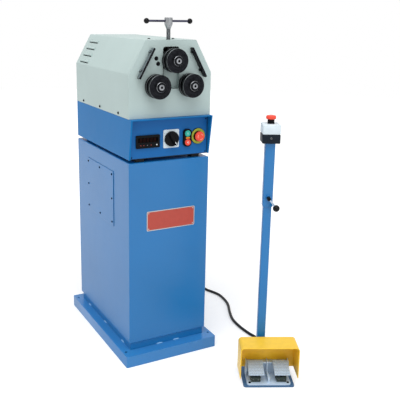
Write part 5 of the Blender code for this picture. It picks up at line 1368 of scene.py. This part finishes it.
def side_cover_screws(radius):
    """Eight screws round the side access cover."""
    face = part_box("side_access_cover")[0].x
    ys, heights, middle_spot = (151, 20, -111), (727, 629, 533), (20, 629)
    places = [(y, z) for y in ys for z in heights if (y, z) != middle_spot]
    spots = [at_place(face, y * MM, z * MM, TO_LEFT) for y, z in places]
    screw_set("side_cover_screws", radius, "black_zinc_steel", spots)


def cable_gland(node, turn, bored):
    """Screwed gland: hexagon flange, ribbed nut and a nose that tapers to the cable."""
    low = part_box(node)[0]
    spot = middle(node)
    start = (low.x, spot.y, spot.z) if turn is TO_RIGHT else (spot.x, low.y, spot.z)
    gland = Piece(node + "_nut", Matrix.Translation(start) @ turn)
    flange, flange_top, edge, ribs = 15 * MM, 4 * MM, 0.8 * MM, 16
    nut, nut_top, top = mm(12, 18, 26)
    bore, rib, steps = 6.6 * MM, 0.9 * MM, 96
    black = "moulded_abs_black"
    collar = [(bore, 0), (flange, 0, 6), (flange, flange_top - 0.6 * MM, 6)]
    collar += [(flange - 1.2 * MM, flange_top), (nut - edge, flange_top)]
    gland.turned(collar, black, steps=steps)
    sections = (nut - edge, 0, flange_top), (nut, rib, flange_top + edge), (nut, rib, nut_top)
    gland.rings([fluted(*section, ribs) for section in sections], black)
    nose = [(nut - rib, nut_top - OVERLAP), (nut - 1.4 * MM, nut_top + 2 * MM)]
    nose += [(bore + 2.6 * MM, top - 3 * MM), (bore + 1.6 * MM, top)]
    nose += [(bore, top), (bore, 0)] if bored else [(0, top)]
    gland.turned(nose, black, steps=steps)
    if not bored:
        gland.turned([(bore, 0), (0, 0)], black, steps=steps)
    gland.done("base", "black_plastic", node, angle_deg=35)


class BENDER_OT_cabinet(bpy.types.Operator):
    """Fit the cabinet's blank badge, welds, cover screws and cable glands"""

    bl_idname = "bender.cabinet"
    bl_label = "Cabinet"

    def execute(self, context):
        sizes = context.scene.bender_sizes
        blank_badge(sizes.badge_width, sizes.badge_height)
        weld_beads(sizes.bead_width)
        side_cover_screws(sizes.side_screw_head)
        cable_gland("foot_cable_gland", TO_RIGHT, bored=False)
        cable_gland("mains_gland", TO_BACK, bored=True)
        return {"FINISHED"}


def guard_hood(edge):
    """Moulded guard: one shell, open in front and below, with a rolled lip round its mouth."""
    half, low, high = mm(109, 32, 155)
    front, back = mm(7.8, 97.3)
    wall, corner, lip_radius = mm(3, 14, 1.9)
    steps = 10

    def arch(inset, y):
        radius = corner - inset
        left, right, top = -half + inset, half - inset, high - inset
        points = [(left, low)]
        points += reversed(arc((left + radius, top - radius), radius, 90, 180, steps))
        points += reversed(arc((right - radius, top - radius), radius, 0, 90, steps))
        points.append((right, low))
        return [(x, y, z) for x, z in points]

    hood = Piece("guard_hood", STATION)
    part = bmesh.new()
    outer_front, outer_back, inner_front, inner_back = (
        [part.verts.new(point) for point in arch(inset, y)]
        for inset, y in ((0, front), (0, back), (wall, front), (wall, back - wall))
    )
    for a, b in ((outer_front, outer_back), (inner_back, inner_front), (inner_front, outer_front)):
        for n in range(len(a) - 1):
            part.faces.new([a[n], a[n + 1], b[n + 1], b[n]])
    part.faces.new(outer_back)
    part.faces.new(inner_back)
    for end in (0, -1):
        part.faces.new([outer_front[end], outer_back[end], inner_back[end], inner_front[end]])
    part.faces.new([outer_back[0], outer_back[-1], inner_back[-1], inner_back[0]])
    hood.take(part, "moulded_abs_yellow", HERE)
    hood.done("base", "yellow_plastic", "hood", edge=edge)
    lip = Piece("guard_lip", STATION)
    lip.tube(arch(wall / 2, front + lip_radius), lip_radius, "moulded_abs_yellow", 14)
    lip.done("base", "yellow_plastic", angle_deg=60)


def pedal_switches():
    """Dark switch covers under the pedals' front ends, each with two screws and a plunger."""
    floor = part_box("pedal_base")[0].z + PEDAL_BASE_FLOOR
    half, front, back, top = mm(18.4, 17.4, 54.4, 18.6)
    out, plunger_y = mm(48.2, 27)
    screw_radius, screw_x, screw_z = mm(3.4, 9, 9)
    switches = Piece("pedal_switches", STATION)
    boot = [(5 * MM, -OVERLAP), mm(5, 2), mm(3.4, 3.2), mm(3.4, 5)]
    boot += [mm(2.4, 6), mm(0, 6.4)]
    for side in (-1, 1):
        x = side * out
        plan = rounded_rectangle(2 * half, back - front, 2 * MM, (x, (front + back) / 2), 4)
        switches.slab([plan], floor - OVERLAP, floor + top, "moulded_abs_dark_green")
        for dx in (-screw_x, screw_x):
            spot = at_place(x + dx, front, floor + screw_z, TO_FRONT)
            socket_screw(switches, screw_radius, "screw_steel", spot)
        switches.turned(boot, "moulded_abs_black", at_place(x, plunger_y, floor + top), 24)
    switches.done("base", "black_plastic", angle_deg=30)


def station_screws():
    """Screws in the pedal casting's front corners."""
    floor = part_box("pedal_base")[0].z + PEDAL_BASE_FLOOR
    x, y, radius = mm(71.5, 13.7, 5.2)
    spots = [at_place(side * x, y, floor) for side in (-1, 1)]
    screw_set("station_screws", radius, "black_zinc_steel", spots, STATION)


def post_weld():
    """The weld round the post's foot, on the floor plate."""
    plate_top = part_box("station_plate")[1].z
    width, corner, bead, ripple, rise = mm(31, 3, 1.9, 0.3, 0.4)
    corners = rounded_rectangle(width, width, corner, (POST_X, 130 * MM), 4)
    weld = Piece("post_weld", STATION)
    points = [(x, y, plate_top + rise) for x, y in [*corners, corners[0]]]
    radii = [bead + ripple * math.sin(2.2 * n) for n in range(len(points))]
    weld.tube(points, radii, "powder_coat_cabinet", 12)
    weld.done("base", "blue_powder_coat", angle_deg=60)


def clamp_handle():
    """Clamp lever: a hexagon hub, a chromed arm that thickens to its root, and a black ball."""
    pivot = Vector((POST_X, 103.7 * MM, 700 * MM))
    handle = Piece("clamp_handle", STATION @ Matrix.Translation(pivot))
    hub, length, pin, ball = mm(8, 14, 3, 12.5)
    profile = [(0, 0), (hub, 0, 6), (hub, 4 * MM, 6), (hub - MM, 5 * MM), (hub - MM, length - MM)]
    profile += [(hub - 2 * MM, length), (pin, length), (pin * 0.8, length - MM), (0, length - MM)]
    handle.turned(profile, "black_zinc_steel", TO_FRONT, 48)
    root, tip = Vector((0, -length / 2, 0)), Vector(mm(27, -17, -33))
    count, thick, waist = 12, 5.0, 1.4
    points = [root.lerp(tip, n / count) for n in range(count + 1)]
    radii = [(thick - waist * math.sin(math.pi * n / count)) * MM for n in range(count + 1)]
    handle.tube(points, radii, "chromed_steel", 20)
    handle.ball(ball, "moulded_phenolic_black", Matrix.Translation(tip), 40)
    handle.done("clamp", "bright_steel", "clamp_lever", angle_deg=35)


def stop_box_screws():
    """The stop box's front screw and the four screws of its lid."""
    spot = middle("stop_box")
    lid_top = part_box("stop_box_lid")[1].z
    half, front_z, front_radius, lid_radius = mm(32, 920, 4.2, 2.4)
    corners = mm(-24, 24)
    turn = STATION.to_3x3().to_4x4()
    screws = Piece("stop_box_screws", at_place(spot.x, spot.y, 0, turn))
    socket_screw(screws, front_radius, "screw_steel", at_place(-MM, -half, front_z, TO_FRONT))
    for x in corners:
        for y in corners:
            socket_screw(screws, lid_radius, "moulded_abs_light", at_place(x, y, lid_top))
    screws.done("height_sleeve", "bright_steel", angle_deg=30)


class BENDER_OT_foot_station(bpy.types.Operator):
    """Make the guard, the pedals' switches, the clamp lever and the post's emergency stop"""

    bl_idname = "bender.foot_station"
    bl_label = "Foot station"

    def execute(self, context):
        guard_hood(context.scene.bender_sizes.moulded_edge)
        pedal_switches()
        station_screws()
        post_weld()
        clamp_handle()
        stop_box_screws()
        spot = middle("station_stop_cap")
        lid_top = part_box("stop_box_lid")[1].z
        mushroom_stop("station", at_place(spot.x, spot.y, lid_top), 18 * MM)
        return {"FINISHED"}


class BENDER_OT_stage(bpy.types.Operator):
    """Set up the camera, the lights and the floor"""

    bl_idname = "bender.stage"
    bl_label = "Camera, light and floor"

    def execute(self, context):
        scene = context.scene
        scene.view_settings.view_transform = "Standard"
        set_camera(scene)
        set_world(scene)
        set_lights(scene)
        set_floor()
        return {"FINISHED"}


def set_camera(scene):
    """The camera at the photograph's height and angle."""
    spot = Vector((-1.0918, -2.4238, 1.3462))
    yaw, pitch, roll_turn = (math.radians(a) for a in (28.44, 13.87, 0.99))
    ahead = Vector(
        (math.sin(yaw) * math.cos(pitch), math.cos(yaw) * math.cos(pitch), -math.sin(pitch))
    )
    right = Vector((math.cos(yaw), -math.sin(yaw), 0))
    up = right.cross(ahead)
    tilted_right = math.cos(roll_turn) * right + math.sin(roll_turn) * up
    tilted_up = -math.sin(roll_turn) * right + math.cos(roll_turn) * up
    turn = Matrix((tilted_right, tilted_up, -ahead)).transposed().to_4x4()
    data = bpy.data.cameras.new("camera")
    data.sensor_width = 36
    data.lens = 58.70
    data.shift_x = 0.0341
    data.shift_y = -0.0665
    data.clip_end = 60
    camera = bpy.data.objects.new("camera", data)
    camera.matrix_world = Matrix.Translation(spot) @ turn
    scene.collection.objects.link(camera)
    scene.camera = camera


def seen_directly(tree):
    """1 where the camera looks, also in a mirror or through glass, and 0 for all other light."""
    rays = add(tree, "ShaderNodeLightPath").node.outputs
    seen = rays["Is Camera Ray"]
    for name in ("Is Transmission Ray", "Is Glossy Ray"):
        seen = add(tree, "ShaderNodeMath", {0: seen, 1: rays[name]}, operation="MAXIMUM")
    return seen


def set_world(scene):
    """An even white room that lights softly. Seen directly or in metal it is plain white."""
    world = bpy.data.worlds.new("white_room")
    world.use_nodes = True
    scene.world = world
    tree = world.node_tree
    tree.nodes.clear()
    white = (*linear("#FFFFFF"), 1)
    room = add(tree, "ShaderNodeBackground", {"Color": white, "Strength": 0.58})
    backdrop = add(tree, "ShaderNodeBackground", {"Color": white, "Strength": 1.0})
    mixed = add(tree, "ShaderNodeMixShader", {0: seen_directly(tree), 1: room, 2: backdrop})
    add(tree, "ShaderNodeOutputWorld", {"Surface": mixed})


def area_light(scene, name, spot, aim, width, height, power):
    data = bpy.data.lights.new(name, "AREA")
    data.shape = "RECTANGLE"
    data.size = width
    data.size_y = height
    data.energy = power
    lamp = bpy.data.objects.new(name, data)
    way = Vector(aim) - Vector(spot)
    lamp.matrix_world = Matrix.Translation(spot) @ way.to_track_quat("-Z", "Y").to_matrix().to_4x4()
    scene.collection.objects.link(lamp)


def set_lights(scene):
    """A broad soft light overhead, and weaker ones from the front and the left."""
    target = (0.05, -0.15, 0.75)
    for name, spot, width, height, power in (
        ("overhead_softbox", (-1.7, -2.6, 6.6), 6.4, 5.2, 330),
        ("front_softbox", (0.9, -5.2, 1.8), 3.2, 2.4, 30),
        ("left_softbox", (-4.6, 0.6, 1.5), 2.4, 3.0, 14),
    ):
        area_light(scene, name, spot, target, width, height, power)


def set_floor():
    """A pale floor that keeps the shadow and brightens to white away from the machine."""
    tree, shader, place = start_finish("floor_paper", Roughness=0.9, Specular_IOR_Level=0.1)
    fibre = {"Vector": place, "Scale": per_metre(300), "Detail": 2.0}
    fibre = add(tree, "ShaderNodeTexNoise", fibre)
    colours = {"Factor": fibre, "A": (*linear("#E6E6E6"), 1), "B": (*linear("#EAEAEA"), 1)}
    add(tree, "ShaderNodeMix", colours, shader["Base Color"], data_type="RGBA")
    away = add(tree, "ShaderNodeVectorMath", {0: place}, operation="LENGTH")
    near, far = 0.7, 2.4
    glow = {"Value": away, "From Min": near, "From Max": far, "To Min": 0.34, "To Max": 0.62}
    glow = add(tree, "ShaderNodeMapRange", glow)
    glow = add(tree, "ShaderNodeMath", {0: seen_directly(tree), 1: glow}, operation="MULTIPLY")
    lit = add(tree, "ShaderNodeEmission", {"Strength": glow})
    output = tree.nodes["Material Output"].inputs["Surface"]
    lobes = {0: tree.nodes["Principled BSDF"].outputs[0], 1: lit}
    add(tree, "ShaderNodeAddShader", lobes, output)
    floor = Piece("floor")
    floor.slab([circle(9.0, steps=96)], -10 * MM, -0.5 * MM, "floor_paper")
    made = floor.made()


STEPS = (
    BENDER_OT_finishes,
    BENDER_OT_cable,
    BENDER_OT_rolls,
    BENDER_OT_screw,
    BENDER_OT_head,
    BENDER_OT_console,
    BENDER_OT_cabinet,
    BENDER_OT_foot_station,
    BENDER_OT_stage,
)


class BENDER_PT_panel(bpy.types.Panel):
    """Lists the steps that dress the machine, and what a user may change."""

    bl_idname = "BENDER_PT_panel"
    bl_label = "Angle roll bender"
    bl_space_type = "VIEW_3D"
    bl_region_type = "UI"
    bl_category = "Roll Bender"

    def draw(self, context):
        for step in STEPS:
            self.layout.operator(step.bl_idname)
        for group in (context.scene.bender_colours, context.scene.bender_sizes):
            for name in group.__annotations__:
                self.layout.prop(group, name)


CLASSES = (BenderColours, BenderSizes, *STEPS, BENDER_PT_panel)


def register():
    for kind in CLASSES:
        bpy.utils.register_class(kind)
    bpy.types.Scene.bender_colours = PointerProperty(type=BenderColours)
    bpy.types.Scene.bender_sizes = PointerProperty(type=BenderSizes)


def unregister():
    del bpy.types.Scene.bender_sizes
    del bpy.types.Scene.bender_colours
    for kind in reversed(CLASSES):
        bpy.utils.unregister_class(kind)


def main():
    register()
    bpy.ops.bender.finishes()
    bpy.ops.bender.cable()
    bpy.ops.bender.rolls()
    bpy.ops.bender.screw()
    bpy.ops.bender.head()
    bpy.ops.bender.console()
    bpy.ops.bender.cabinet()
    bpy.ops.bender.foot_station()
    bpy.ops.bender.stage()


if __name__ == "__main__":
    main()
